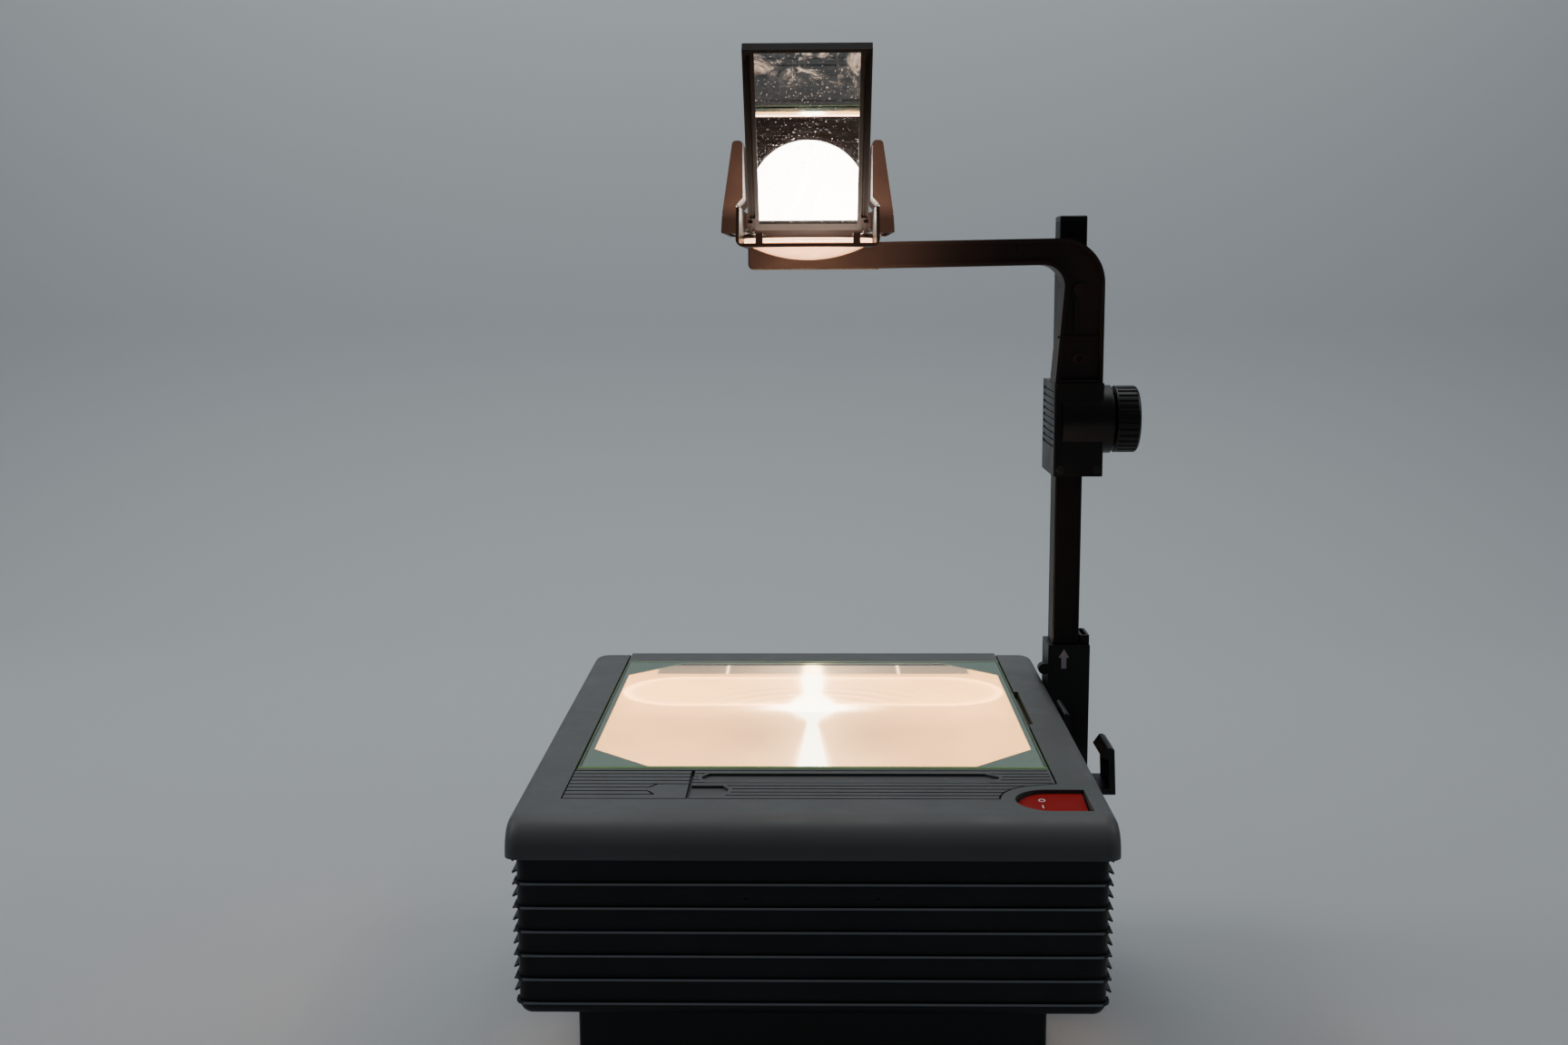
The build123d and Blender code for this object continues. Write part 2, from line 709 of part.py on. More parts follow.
with BuildPart() as fan_housing:
    block((-46, 46), (122, lamp_rear - lamp_wall), (fan_z - 46, fan_z + 46))
    rod_y(0, (121, 144), fan_z, fan_radius + 2.5, Mode.SUBTRACT)
    with BuildSketch(Plane.XZ.offset(-lamp_rear)):
        with Locations((0, fan_z)):
            Circle(fan_radius + 2.5)
            Circle(16, mode=Mode.SUBTRACT)
            Rectangle(6, 2 * fan_radius + 8, mode=Mode.SUBTRACT)
            Rectangle(2 * fan_radius + 8, 6, mode=Mode.SUBTRACT)
    extrude(amount=10, mode=Mode.SUBTRACT)
    rod_y(0, (126, 144.5), fan_z, 1.5)
save(fan_housing, "fan_housing")

with BuildPart() as fan_rotor:
    rod_y(0, (124.5, 143), fan_z, 15.5)
    fan_plane = Plane(origin=(0, 133.5, fan_z), x_dir=(1, 0, 0), z_dir=(0, -1, 0))
    with Locations(fan_plane.location):
        with PolarLocations((fan_radius + 13) / 2, 7):
            Box(fan_radius - 13, 19, 1.6, rotation=(38, 0, 0))
    rod_y(0, (125.5, 144), fan_z, 1.5 + running, Mode.SUBTRACT)
save(fan_rotor, "fan_rotor")

# ---------------------------------------------------------------- socket, clip and post

with BuildPart() as post_socket:
    block((178.6, 210), (83.5, 117), (-110, 27))
    block((203, 210), (88, 114), (27, 34))
    block((house_half, 179), (84, 116), (-110, -26))
    block((house_half, house_half + 3), (70, 130), (-106, -34))
    # small ear over the cover's shoulder
    rod_y(175.5, (84, 92), 8.5, 4.0)
    block((175.5, 179), (84, 92), (4.5, 12.5))
    # the well that the post stands in
    well_x = (post_x[0] - slide_gap, post_x[1] + slide_gap)
    well_y = (post_y[0] - slide_gap, post_y[1] + slide_gap)
    block(well_x, well_y, (post_z[0], 40), Mode.SUBTRACT)
    # lightening pocket in the right flange
    block((205, 208), (90, 112), (-100, 40), Mode.SUBTRACT)
    for y in (76, 124):
        for z in (-98, -42):
            rod_x((house_half - 1, house_half + 4), y, z, 2.0, Mode.SUBTRACT)
save(post_socket, "post_socket")

arrow_x = 190.5
with BuildPart() as socket_arrow:
    with BuildSketch(Plane.XZ.offset(-83.5)):
        with BuildLine():
            Polyline(
                (arrow_x - 1.9, 9),
                (arrow_x + 1.9, 9),
                (arrow_x + 1.9, 17.5),
                (arrow_x + 4, 17.5),
                (arrow_x, 24),
                (arrow_x - 4, 17.5),
                (arrow_x - 1.9, 17.5),
                close=True,
            )
        make_face()
    extrude(amount=0.4)
save(socket_arrow, "socket_arrow")

clip_y = (0.0, 40.0)
with BuildPart() as post_clip:
    with BuildSketch(Plane.XZ.offset(-clip_y[1])):
        with BuildLine():
            Polyline(
                (house_half, -64),
                (217, -64),
                (215.5, -31),
                (213, -29.5),
                (211, -30),
                (206.5, -36.5),
                (211.5, -38.5),
                (212.5, -60),
                (184, -60),
                (183, -5.5),
                (181, -4),
                (179.5, -5),
                (178.7, -10),
                (178.7, -60),
                (house_half, -60),
                close=True,
            )
        make_face()
    extrude(amount=clip_y[1] - clip_y[0])
    block((house_half, house_half + 3), (-4, 44), (-84, -50))
    for y in (5, 35):
        rod_x((house_half - 1, house_half + 4), y, -75, 2.0, Mode.SUBTRACT)
save(post_clip, "post_clip")

with BuildPart() as bracket_screws:
    for y, z in ((76, -98), (76, -42), (124, -98), (124, -42), (5, -75), (35, -75)):
        rod_x((house_half, house_half + 3), y, z, 2.0)
        rod_x((house_half + 3, house_half + 5.2), y, z, 3.6)
        block((house_half + 4.4, house_half + 6), (y - 0.5, y + 0.5), (z - 2.6, z + 2.6), Mode.SUBTRACT)
save(bracket_screws, "bracket_screws")

with BuildPart() as post_tube:
    block(post_x, post_y, post_z)
    fillet(post_tube.edges().filter_by(Axis.Z), 1.5)
    block((184.5, 199.5), (96, 110.5), (post_z[0] - 1, post_z[1] + 1), Mode.SUBTRACT)
    block((rack_x[0] - 0.1, rack_x[1] + 0.1), (86, 93), rack_z, Mode.SUBTRACT)
save(post_tube, "post_tube")

with BuildPart() as post_cap:
    block(post_x, post_y, (post_z[1], post_z[1] + cap_height))
    fillet(post_cap.edges().filter_by(Axis.Z), 1.5)
    chamfer(post_cap.edges().group_by(Axis.Z)[-1], 0.8)
    block((184.5, 199.5), (96, 110.5), (post_z[1] - 10, post_z[1]))
save(post_cap, "post_cap")

pitch = pi * gear_module
pitch_line_y = axle_y + gear_module * gear_teeth / 2
slope = tan(radians(20))
with BuildPart() as gear_rack:
    with BuildSketch(Plane.YZ.offset(rack_x[0])):
        tip = pitch_line_y - gear_module
        root = pitch_line_y + 1.3 * gear_module
        half_pitch_width = pitch / 4 - gear_backlash / 2
        tip_half = half_pitch_width - slope * gear_module
        root_half = half_pitch_width + slope * 1.3 * gear_module
        outline = [(93, rack_z[0])]
        tooth_count = int((rack_z[1] - rack_z[0] - 4) / pitch)
        first = axle_z + pitch / 2 - pitch * int((axle_z - rack_z[0] - 2) / pitch)
        outline.append((root, rack_z[0]))
        for i in range(tooth_count):
            z = first + i * pitch
            outline.append((root, z - root_half))
            outline.append((tip, z - tip_half))
            outline.append((tip, z + tip_half))
            outline.append((root, z + root_half))
        outline.append((root, rack_z[1]))
        outline.append((93, rack_z[1]))
        with BuildLine():
            Polyline(*outline, close=True)
        make_face()
    extrude(amount=rack_x[1] - rack_x[0])
save(gear_rack, "gear_rack")


def involute(angle):
    return tan(angle) - angle


def pinion_points():
    """Outline of the pinion, with one tooth pointing along the first axis."""
    pitch_radius = gear_module * gear_teeth / 2
    base_radius = pitch_radius * cos(radians(20))
    root_radius = pitch_radius - 1.3 * gear_module
    tip_radius = pitch_radius + gear_module
    half_at_pitch = pi / (2 * gear_teeth) - gear_backlash / (2 * pitch_radius)
    flank = [base_radius * 1.001, pitch_radius, pitch_radius + gear_module / 2, tip_radius]
    half_angles = [half_at_pitch + involute(radians(20)) - involute(acos(base_radius / r)) for r in flank]
    points = []
    for i in range(gear_teeth):
        centre = 2 * pi * i / gear_teeth
        rising = [(root_radius, centre - half_angles[0])]
        rising += [(r, centre - a) for r, a in zip(flank, half_angles)]
        falling = [(r, 2 * centre - a) for r, a in reversed(rising)]
        points += [(r * cos(a), r * sin(a)) for r, a in rising + falling]
    return points


# ---------------------------------------------------------------- carriage, pinion and knob

with BuildPart() as carriage_housing:
    block(carriage_x, carriage_y, carriage_z)
    fillet(carriage_housing.edges().filter_by(Axis.Z), 2)
    rod_x((182, 219), axle_y, axle_z, barrel_radius)
    rod_x((219, 220.5), axle_y, axle_z, 20)
    block(well_x, well_y, (carriage_z[0] - 1, carriage_z[1] + 1), Mode.SUBTRACT)
    rod_x((186, 198), axle_y, axle_z, 14, Mode.SUBTRACT)
    rod_x((180, 221), axle_y, axle_z, axle_radius + running, Mode.SUBTRACT)
    # grip grooves on the left side
    for i in range(9):
        z = 181 + i * 5
        block((175, 177), (60, 116), (z - 0.9, z + 0.9), Mode.SUBTRACT)
    for x in (carriage_x[0] + 4.5, carriage_x[1] - 4.5):
        rod_y(x, (carriage_y[0] - 1, carriage_y[0] + 1.6), 163.5, 3.0, Mode.SUBTRACT)
save(carriage_housing, "carriage_housing")

with BuildPart() as carriage_cover:
    block((178, 210), (carriage_y[1], carriage_y[1] + 4), (161, 225))
    fillet(carriage_cover.edges().filter_by(Axis.Y), 4)
    chamfer(carriage_cover.faces().sort_by(Axis.Y)[-1].edges(), 1)
save(carriage_cover, "carriage_cover")

with BuildPart() as arm_screws:
    for x in (carriage_x[0] + 4.5, carriage_x[1] - 4.5):
        rod_y(x, (carriage_y[0] + 0.2, carriage_y[0] + 1.6), 163.5, 3.0)
        block((x - 2.4, x + 2.4), (carriage_y[0], carriage_y[0] + 0.9), (163.1, 163.9), Mode.SUBTRACT)
save(arm_screws, "arm_screws")

with BuildPart() as pinion_shaft:
    rod_x((181, 236), axle_y, axle_z, axle_radius)
    with BuildSketch(Plane.YZ.offset(rack_x[0] + 0.4)):
        with Locations((axle_y, axle_z)):
            with BuildLine(mode=Mode.PRIVATE) as teeth:
                Polyline(*pinion_points(), close=True)
            add(make_face(teeth.line, mode=Mode.PRIVATE))
    extrude(amount=7)
save(pinion_shaft, "pinion_shaft")

knob_x = (222.0, 239.0)
knob_radius = 24.5
with BuildPart() as focus_knob:
    rod_x(knob_x, axle_y, axle_z, knob_radius)
    fillet(focus_knob.edges().filter_by(GeomType.CIRCLE).sort_by(Axis.X)[-1], 3)
    knob_plane = Plane(origin=(knob_x[0] + 8, axle_y, axle_z), x_dir=(0, 1, 0), z_dir=(1, 0, 0))
    with Locations(knob_plane.location):
        with PolarLocations(knob_radius + 0.6, 30):
            Cylinder(1.6, 14, mode=Mode.SUBTRACT)
    rod_x((knob_x[0] - 1, knob_x[0] + 10), axle_y, axle_z, 20, Mode.SUBTRACT)
    rod_x((knob_x[0], knob_x[0] + 11), axle_y, axle_z, 7)
    rod_x((knob_x[0] - 1, 236), axle_y, axle_z, axle_radius, Mode.SUBTRACT)
save(focus_knob, "focus_knob")

# ---------------------------------------------------------------- arm and head


def arm_plan(grow):
    """Side view of the arm: a level run, a bend and a foot that widens downwards."""
    right = arm_right
    top = arm_z[1]
    bend = sin(radians(45))
    with BuildSketch() as plan:
        with BuildLine():
            Line((sleeve_x[1], top - arm_fall), (right - arm_corner, top))
            ThreePointArc(
                (right - arm_corner, top),
                (right - arm_corner + arm_corner * bend, top - arm_corner + arm_corner * bend),
                (right, top - arm_corner),
            )
            Polyline((right, top - arm_corner), (right, carriage_z[1]), (176.5, carriage_z[1]), (182, 296))
            ThreePointArc((182, 296), (177.5, 307.5), (166, arm_z[0]))
            Polyline(
                (166, arm_z[0]),
                (sleeve_x[1], arm_z[0] - arm_fall),
                (sleeve_x[1], top - arm_fall),
            )
        make_face()
        offset(amount=grow, kind=Kind.INTERSECTION)
    return plan.sketch


with BuildPart() as head_arm:
    with BuildSketch(Plane.XZ.offset(-arm_y[1])):
        add(arm_plan(0))
    extrude(amount=arm_y[1] - arm_y[0])
    with BuildSketch(Plane.XZ.offset(-web_y[0])):
        add(arm_plan(-2.5))
    extrude(amount=web_y[0] - arm_y[0] + 1, mode=Mode.SUBTRACT)
    with BuildSketch(Plane.XZ.offset(-arm_y[1] - 1)):
        add(arm_plan(-2.5))
    extrude(amount=arm_y[1] + 1 - web_y[1], mode=Mode.SUBTRACT)
    # bosses and ribs in the front recess
    face = arm_y[0]
    rod_y(193, (face + 1.5, web_y[0]), 294, 4.5)
    rod_y(193, (face + 1, web_y[0]), 245, 4)
    rod_y(193, (face, web_y[0] - 0.5), 245, 2.2, Mode.SUBTRACT)
    block((178, arm_right - 1), (face + 2.5, web_y[0]), (259.5, 261))
    block((189.5, 191), (face + 2, web_y[0]), (262, 288))
    for x in (82, 112, 150):
        block((x - 0.8, x + 0.8), (face + 1.5, web_y[0]), (arm_z[1] - 8, arm_z[1] - 2))
    # the tongue that the sleeve slides over
    tongue_z = (sleeve_z[0] + sleeve_wall + 0.2, sleeve_z[1] - sleeve_wall - 0.2)
    block((sleeve_x[0] + 6, sleeve_x[1]), (61, 84), tongue_z)
save(head_arm, "head_arm")

with BuildPart() as arm_sleeve:
    block(sleeve_x, sleeve_y, sleeve_z)
    fillet(arm_sleeve.edges().filter_by(Axis.Y).group_by(Axis.X)[0], 4)
    block(
        (sleeve_x[0] + 4, sleeve_x[1] + 1),
        (60.8, 84.2),
        (sleeve_z[0] + sleeve_wall, sleeve_z[1] - sleeve_wall),
        Mode.SUBTRACT,
    )
    chamfer(arm_sleeve.edges().filter_by(Axis.X).group_by(Axis.Y)[0], 0.8)
save(arm_sleeve, "arm_sleeve")

cradle_rear = sleeve_y[0]
plate_top = cradle_z[0] + cradle_skin
rim_z = plate_top + 2 * flange_thick      # top of the lenses' rims
clip_top = rim_z + 3.3
with BuildPart() as lens_plate:
    # a U-shaped cradle, thin at the front
    block((-cradle_half, cradle_half), (cradle_front, cradle_rear), cradle_z)
    low_edges = lens_plate.edges().filter_by(Axis.Y).group_by(Axis.Z)[0]
    fillet(low_edges, 5)
    with BuildPart(mode=Mode.SUBTRACT) as inside:
        wall = cradle_half - cradle_skin
        block((-wall, wall), (cradle_front - 1, cradle_rear + 1), (plate_top, cradle_z[1] + 1))
        fillet(inside.edges().filter_by(Axis.Y).group_by(Axis.Z)[0], 0.7)
    # the walls' front corners slope back
    with BuildSketch(Plane.YZ.offset(-cradle_half - 1)):
        with BuildLine():
            Polyline(
                (cradle_front - 1, 330),
                (cradle_front, 330),
                (cradle_front + 12, cradle_z[1] + 1),
                (cradle_front - 1, cradle_z[1] + 1),
                close=True,
            )
        make_face()
    extrude(amount=2 * cradle_half + 2, mode=Mode.SUBTRACT)
    # riser and flange over the sleeve
    flange_z = (sleeve_z[1], sleeve_z[1] + cradle_skin)
    block((-42, 42), (cradle_rear - 2.5, cradle_rear), (cradle_z[0], flange_z[1]))
    block((-42, 42), (cradle_rear - 2.5, 84), flange_z)
    # hole under the lens, and the bores of the mirror's pivots
    rod_z(0, 0, (cradle_z[0] - 1, plate_top + 1), lens_hole, Mode.SUBTRACT)
    rod_x((-cradle_half - 1, cradle_half + 1), mirror_y, mirror_z, pivot_radius, Mode.SUBTRACT)
    # four clips that hook over the lens
    for x in (-32.5, 32.5):
        for side in (-1, 1):
            stem = sorted((side * 33.0, side * 36.5))
            hook = sorted((side * 28.0, side * 36.5))
            block((x - 2.4, x + 2.4), stem, (plate_top - 0.5, clip_top))
            block((x - 2.4, x + 2.4), hook, (rim_z + 1.3, clip_top))
    block((-2, 2), (cradle_front - 1, cradle_front + 1), (cradle_z[0] - 1, plate_top + 1), Mode.SUBTRACT)
save(lens_plate, "lens_plate", head_x)


def dome_radius(rim_radius, sag):
    return (rim_radius ** 2 + sag ** 2) / (2 * sag)


with BuildPart() as lens_lower:
    curve = dome_radius(lens_hole - 0.2, lens_sag)
    with Locations((0, 0, plate_top - lens_sag + curve)):
        Sphere(curve)
    rod_z(0, 0, (plate_top, plate_top + 2 * curve), curve + 1, Mode.SUBTRACT)
    rod_z(0, 0, (plate_top, plate_top + flange_thick), lens_radius)
save(lens_lower, "lens_lower", head_x)

with BuildPart() as lens_upper:
    upper_sag = 2.0
    curve = dome_radius(lens_radius - 3.5, upper_sag)
    with Locations((0, 0, rim_z + upper_sag - curve)):
        Sphere(curve)
    rod_z(0, 0, (rim_z - 2 * curve, rim_z), curve + 1, Mode.SUBTRACT)
    rod_z(0, 0, (rim_z - flange_thick, rim_z), lens_radius)
save(lens_upper, "lens_upper", head_x)

with BuildPart() as lens_ring:
    rod_z(0, 0, (rim_z, rim_z + 1.2), lens_radius + 0.2)
    rod_z(0, 0, (rim_z - 1, rim_z + 2), lens_radius - 2.7, Mode.SUBTRACT)
save(lens_ring, "lens_ring", head_x)


def wing(side):
    """One side cheek of the head, leaning in towards its rounded top."""
    with BuildPart() as cheek:
        with BuildSketch(Plane.XZ.offset(-wing_y[1])) as section:
            with BuildLine():
                Polyline(
                    (side * cradle_half, wing_z[0]),
                    (side * 57, wing_z[0]),
                    (side * 56.2, 345),
                    (side * 49, wing_z[1]),
                    (side * wing_inner, wing_z[1]),
                    (side * wing_inner, 356),
                    (side * cradle_half, 351),
                    close=True,
                )
            make_face()
            fillet(section.vertices().group_by(Axis.Y)[-1], 2.5)
        extrude(amount=wing_y[1] - wing_y[0])
        fillet(cheek.edges().filter_by(Axis.Y).group_by(Axis.Z)[0], 0.8)
        hollow = sorted((side * 50.5, side * 54))
        block(hollow, (wing_y[0] + 6, wing_y[1] - 6), (wing_z[0] - 1, 349), Mode.SUBTRACT)
        # a shallow step marks the cheek off from its foot
        groove = sorted((side * 55.7, side * 58))
        block(groove, (wing_y[0] - 1, wing_y[1] + 1), (344.6, 345.2), Mode.SUBTRACT)
        bore = sorted((side * (cradle_half - 1), side * 50.5))
        rod_x(bore, mirror_y, mirror_z, pivot_radius, Mode.SUBTRACT)
    return cheek


wing_left = wing(-1)
save(wing_left, "wing_left", head_x)
wing_right = wing(1)
save(wing_right, "wing_right", head_x)

with BuildPart() as head_bridge:
    block((-cradle_half, cradle_half), (62, 65), (flange_z[1], 350))
    block((-40, 40), (62, 84), (flange_z[1], flange_z[1] + 2))
save(head_bridge, "head_bridge", head_x)

with BuildPart() as mirror_pivots:
    for side in (-1, 1):
        rod_x(sorted((side * 37.5, side * 50.5)), mirror_y, mirror_z, pivot_radius)
save(mirror_pivots, "mirror_pivots", head_x)

# In this plane the tray runs towards -Y, and +Z is the mirror's back.
mirror_plane = Plane(
    origin=(0, mirror_y, mirror_z),
    x_dir=(1, 0, 0),
    z_dir=(0, sin(radians(mirror_lean)), cos(radians(mirror_lean))),
)
tray_face = 1.0
tray_thick = 7.4
lip = 1.7                 # how far the frame covers the glass's edge
glass_y = (-tray_length + 1.5, -5.2)
glass_z = (3.05, 6.05)
with BuildPart(mirror_plane) as mirror_tray:
    block((-tray_half, tray_half), (-tray_length, -1.5), (tray_face, tray_face + tray_thick))
    opening_x = (-glass_half + lip, glass_half - lip)
    opening_y = (glass_y[0] + 1, glass_y[1] - lip)
    block(opening_x, opening_y, (0, glass_z[1]), Mode.SUBTRACT)
    slot_x = (-glass_half - 0.2, glass_half + 0.2)
    slot_y = (glass_y[0] - 0.2, glass_y[1] + 0.2)
    block(slot_x, slot_y, (glass_z[0] - 0.05, glass_z[1] + 0.15), Mode.SUBTRACT)
    for side in (-1, 1):
        lug = sorted((side * 38.6, side * tray_half))
        block(lug, (-10, 0), (-2, 8))
        rod_x(lug, 0, 0, lug_radius)
        rod_x(sorted((side * 37, side * (tray_half + 1))), 0, 0, pivot_radius + running, Mode.SUBTRACT)
        # channel along the side, with two ridges on its floor
        channel = sorted((side * (glass_half + 1), side * (tray_half - 1.1)))
        block(channel, (-tray_length + 4, -12), (0, 4.5), Mode.SUBTRACT)
        for ridge in (glass_half + 2.2, glass_half + 3.6):
            strip = sorted((side * ridge, side * (ridge + 0.6)))
            block(strip, (-tray_length + 3, -11), (2.4, 4.6))
save(mirror_tray, "mirror_tray", head_x)

with BuildPart(mirror_plane) as mirror_glass:
    block((-glass_half, glass_half), glass_y, glass_z)
save(mirror_glass, "mirror_glass", head_x)
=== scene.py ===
"""An overhead projector: materials, lit stage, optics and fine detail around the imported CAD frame."""

import json
import math

import bmesh
import bpy
from mathutils import Matrix, Vector


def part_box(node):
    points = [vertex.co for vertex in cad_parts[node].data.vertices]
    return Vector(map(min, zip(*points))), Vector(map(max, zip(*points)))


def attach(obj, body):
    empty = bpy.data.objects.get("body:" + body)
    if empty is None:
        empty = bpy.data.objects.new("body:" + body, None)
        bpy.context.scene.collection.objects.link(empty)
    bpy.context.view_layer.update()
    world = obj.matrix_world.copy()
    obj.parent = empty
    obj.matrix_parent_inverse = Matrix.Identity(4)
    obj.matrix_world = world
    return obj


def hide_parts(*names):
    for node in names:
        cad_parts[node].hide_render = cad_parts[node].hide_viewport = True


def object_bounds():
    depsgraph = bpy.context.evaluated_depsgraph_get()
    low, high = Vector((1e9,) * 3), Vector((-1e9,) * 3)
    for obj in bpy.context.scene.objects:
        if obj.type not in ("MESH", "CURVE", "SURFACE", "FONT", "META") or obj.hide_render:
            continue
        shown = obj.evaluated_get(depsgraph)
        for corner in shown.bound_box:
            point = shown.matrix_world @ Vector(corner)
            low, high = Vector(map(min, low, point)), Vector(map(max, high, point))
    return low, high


MM = 0.001

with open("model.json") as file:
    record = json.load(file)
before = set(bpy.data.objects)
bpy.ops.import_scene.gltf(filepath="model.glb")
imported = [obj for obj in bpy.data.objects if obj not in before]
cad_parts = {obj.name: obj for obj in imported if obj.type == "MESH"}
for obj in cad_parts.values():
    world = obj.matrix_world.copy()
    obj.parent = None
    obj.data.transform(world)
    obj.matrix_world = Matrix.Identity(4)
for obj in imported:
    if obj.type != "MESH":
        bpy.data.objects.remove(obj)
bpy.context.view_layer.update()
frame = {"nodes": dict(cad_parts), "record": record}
nodes = frame["nodes"]


# ---------------------------------------------------------------- material building blocks

class Shader:
    """A node material under construction, with its Principled shader and short calls for common nodes."""

    def __init__(self, name):
        self.material = bpy.data.materials.new(name)
        self.material.use_nodes = True
        self.tree = self.material.node_tree
        self.tree.nodes.clear()
        self.output = self.node("ShaderNodeOutputMaterial")
        self.bsdf = self.node("ShaderNodeBsdfPrincipled")
        self.link(self.bsdf.outputs[0], self.output.inputs["Surface"])
        self.coords = self.node("ShaderNodeTexCoord").outputs["Object"]

    def node(self, kind, **settings):
        made = self.tree.nodes.new(kind)
        for key, value in settings.items():
            setattr(made, key, value)
        return made

    def link(self, source, target):
        self.tree.links.new(source, target)

    def put(self, target, value):
        """Joins a socket, or sets a plain value."""
        if isinstance(value, bpy.types.NodeSocket):
            self.link(value, target)
        elif isinstance(value, tuple) and len(value) == 3 and target.type == "RGBA":
            target.default_value = (*value, 1.0)
        else:
            target.default_value = value

    def set(self, **values):
        names = {
            "color": "Base Color", "rough": "Roughness", "metal": "Metallic", "normal": "Normal",
            "transmission": "Transmission Weight", "ior": "IOR", "alpha": "Alpha",
            "emission": "Emission Color", "glow": "Emission Strength", "coat": "Coat Weight",
            "coat_rough": "Coat Roughness", "specular": "Specular IOR Level", "sheen": "Sheen Weight",
        }
        for key, value in values.items():
            self.put(self.bsdf.inputs[names[key]], value)
        return self

    def stretch(self, x, y, z):
        mapping = self.node("ShaderNodeMapping")
        self.link(self.coords, mapping.inputs["Vector"])
        mapping.inputs["Scale"].default_value = (x, y, z)
        return mapping.outputs[0]

    def noise(self, scale, detail=3.0, rough=0.55, coords=None, distortion=0.0):
        made = self.node("ShaderNodeTexNoise")
        self.link(coords or self.coords, made.inputs["Vector"])
        made.inputs["Scale"].default_value = scale
        made.inputs["Detail"].default_value = detail
        made.inputs["Roughness"].default_value = rough
        made.inputs["Distortion"].default_value = distortion
        return made.outputs["Fac"]

    def ramp(self, value, *stops):
        made = self.node("ShaderNodeValToRGB")
        self.link(value, made.inputs[0])
        elements = made.color_ramp.elements
        while len(elements) < len(stops):
            elements.new(0.5)
        for element, (place, colour) in zip(elements, stops):
            element.position = place
            shade = colour if isinstance(colour, tuple) else (colour, colour, colour)
            element.color = (*shade, 1.0)
        return made.outputs[0]

    def math(self, operation, a, b=0.0, clamp=False):
        made = self.node("ShaderNodeMath", operation=operation, use_clamp=clamp)
        self.put(made.inputs[0], a)
        self.put(made.inputs[1], b)
        return made.outputs[0]

    def rescale(self, value, low, high, to_low=0.0, to_high=1.0):
        made = self.node("ShaderNodeMapRange")
        self.put(made.inputs["Value"], value)
        made.inputs["From Min"].default_value = low
        made.inputs["From Max"].default_value = high
        made.inputs["To Min"].default_value = to_low
        made.inputs["To Max"].default_value = to_high
        return made.outputs[0]

    def mix(self, factor, a, b, blend="MIX"):
        made = self.node("ShaderNodeMix", data_type="RGBA", blend_type=blend)
        self.put(made.inputs["Factor"], factor)
        sockets = [s for s in made.inputs if s.type == "RGBA"]
        self.put(sockets[0], a)
        self.put(sockets[1], b)
        return [s for s in made.outputs if s.type == "RGBA"][0]

    def bump(self, height, strength, distance, normal=None):
        made = self.node("ShaderNodeBump")
        self.put(made.inputs["Height"], height)
        made.inputs["Strength"].default_value = strength
        made.inputs["Distance"].default_value = distance
        if normal is not None:
            self.link(normal, made.inputs["Normal"])
        return made.outputs[0]

    def add(self, *values):
        total = values[0]
        for value in values[1:]:
            total = self.math("ADD", total, value)
        return total

    def times(self, *values):
        total = values[0]
        for value in values[1:]:
            total = self.math("MULTIPLY", total, value)
        return total

    def hill(self, value, width):
        """1 where the value is 0, falling smoothly to both sides over the width."""
        scaled = self.math("DIVIDE", value, width)
        return self.math("POWER", 2.718, self.times(scaled, scaled, -1.0))

    def beyond(self, value, limit, soft):
        """0 below the limit and 1 above it, over a soft edge."""
        return self.rescale(value, limit - soft, limit + soft)

    def away_from(self, place):
        offset = self.node("ShaderNodeVectorMath", operation="DISTANCE")
        self.link(self.coords, offset.inputs[0])
        offset.inputs[1].default_value = place
        return offset.outputs["Value"]

    def facing(self, axis, sign=1.0):
        """1 on faces that look along the axis, 0 on the others."""
        normal = self.node("ShaderNodeSeparateXYZ")
        self.link(self.node("ShaderNodeNewGeometry").outputs["Normal"], normal.inputs[0])
        return self.rescale(self.math("MULTIPLY", normal.outputs[axis], sign), 0.7, 0.9)

    def axis(self, name):
        made = self.node("ShaderNodeSeparateXYZ")
        self.link(self.coords, made.inputs[0])
        return made.outputs[name]

    def edges(self, radius):
        """1 near a sharp edge, 0 on open faces."""
        soft = self.node("ShaderNodeBevel", samples=4)
        soft.inputs["Radius"].default_value = radius
        geometry = self.node("ShaderNodeNewGeometry")
        dot = self.node("ShaderNodeVectorMath", operation="DOT_PRODUCT")
        self.link(soft.outputs[0], dot.inputs[0])
        self.link(geometry.outputs["Normal"], dot.inputs[1])
        return self.rescale(dot.outputs["Value"], 0.985, 0.8)

    def open_to_light(self, reach):
        """1 on open faces, falling to 0 inside grooves, seams and corners narrower than the reach."""
        made = self.node("ShaderNodeAmbientOcclusion", samples=6)
        made.inputs["Distance"].default_value = reach
        return self.rescale(made.outputs["AO"], 0.2, 0.8)


def tinted(colour, factor):
    return tuple(channel * factor for channel in colour)


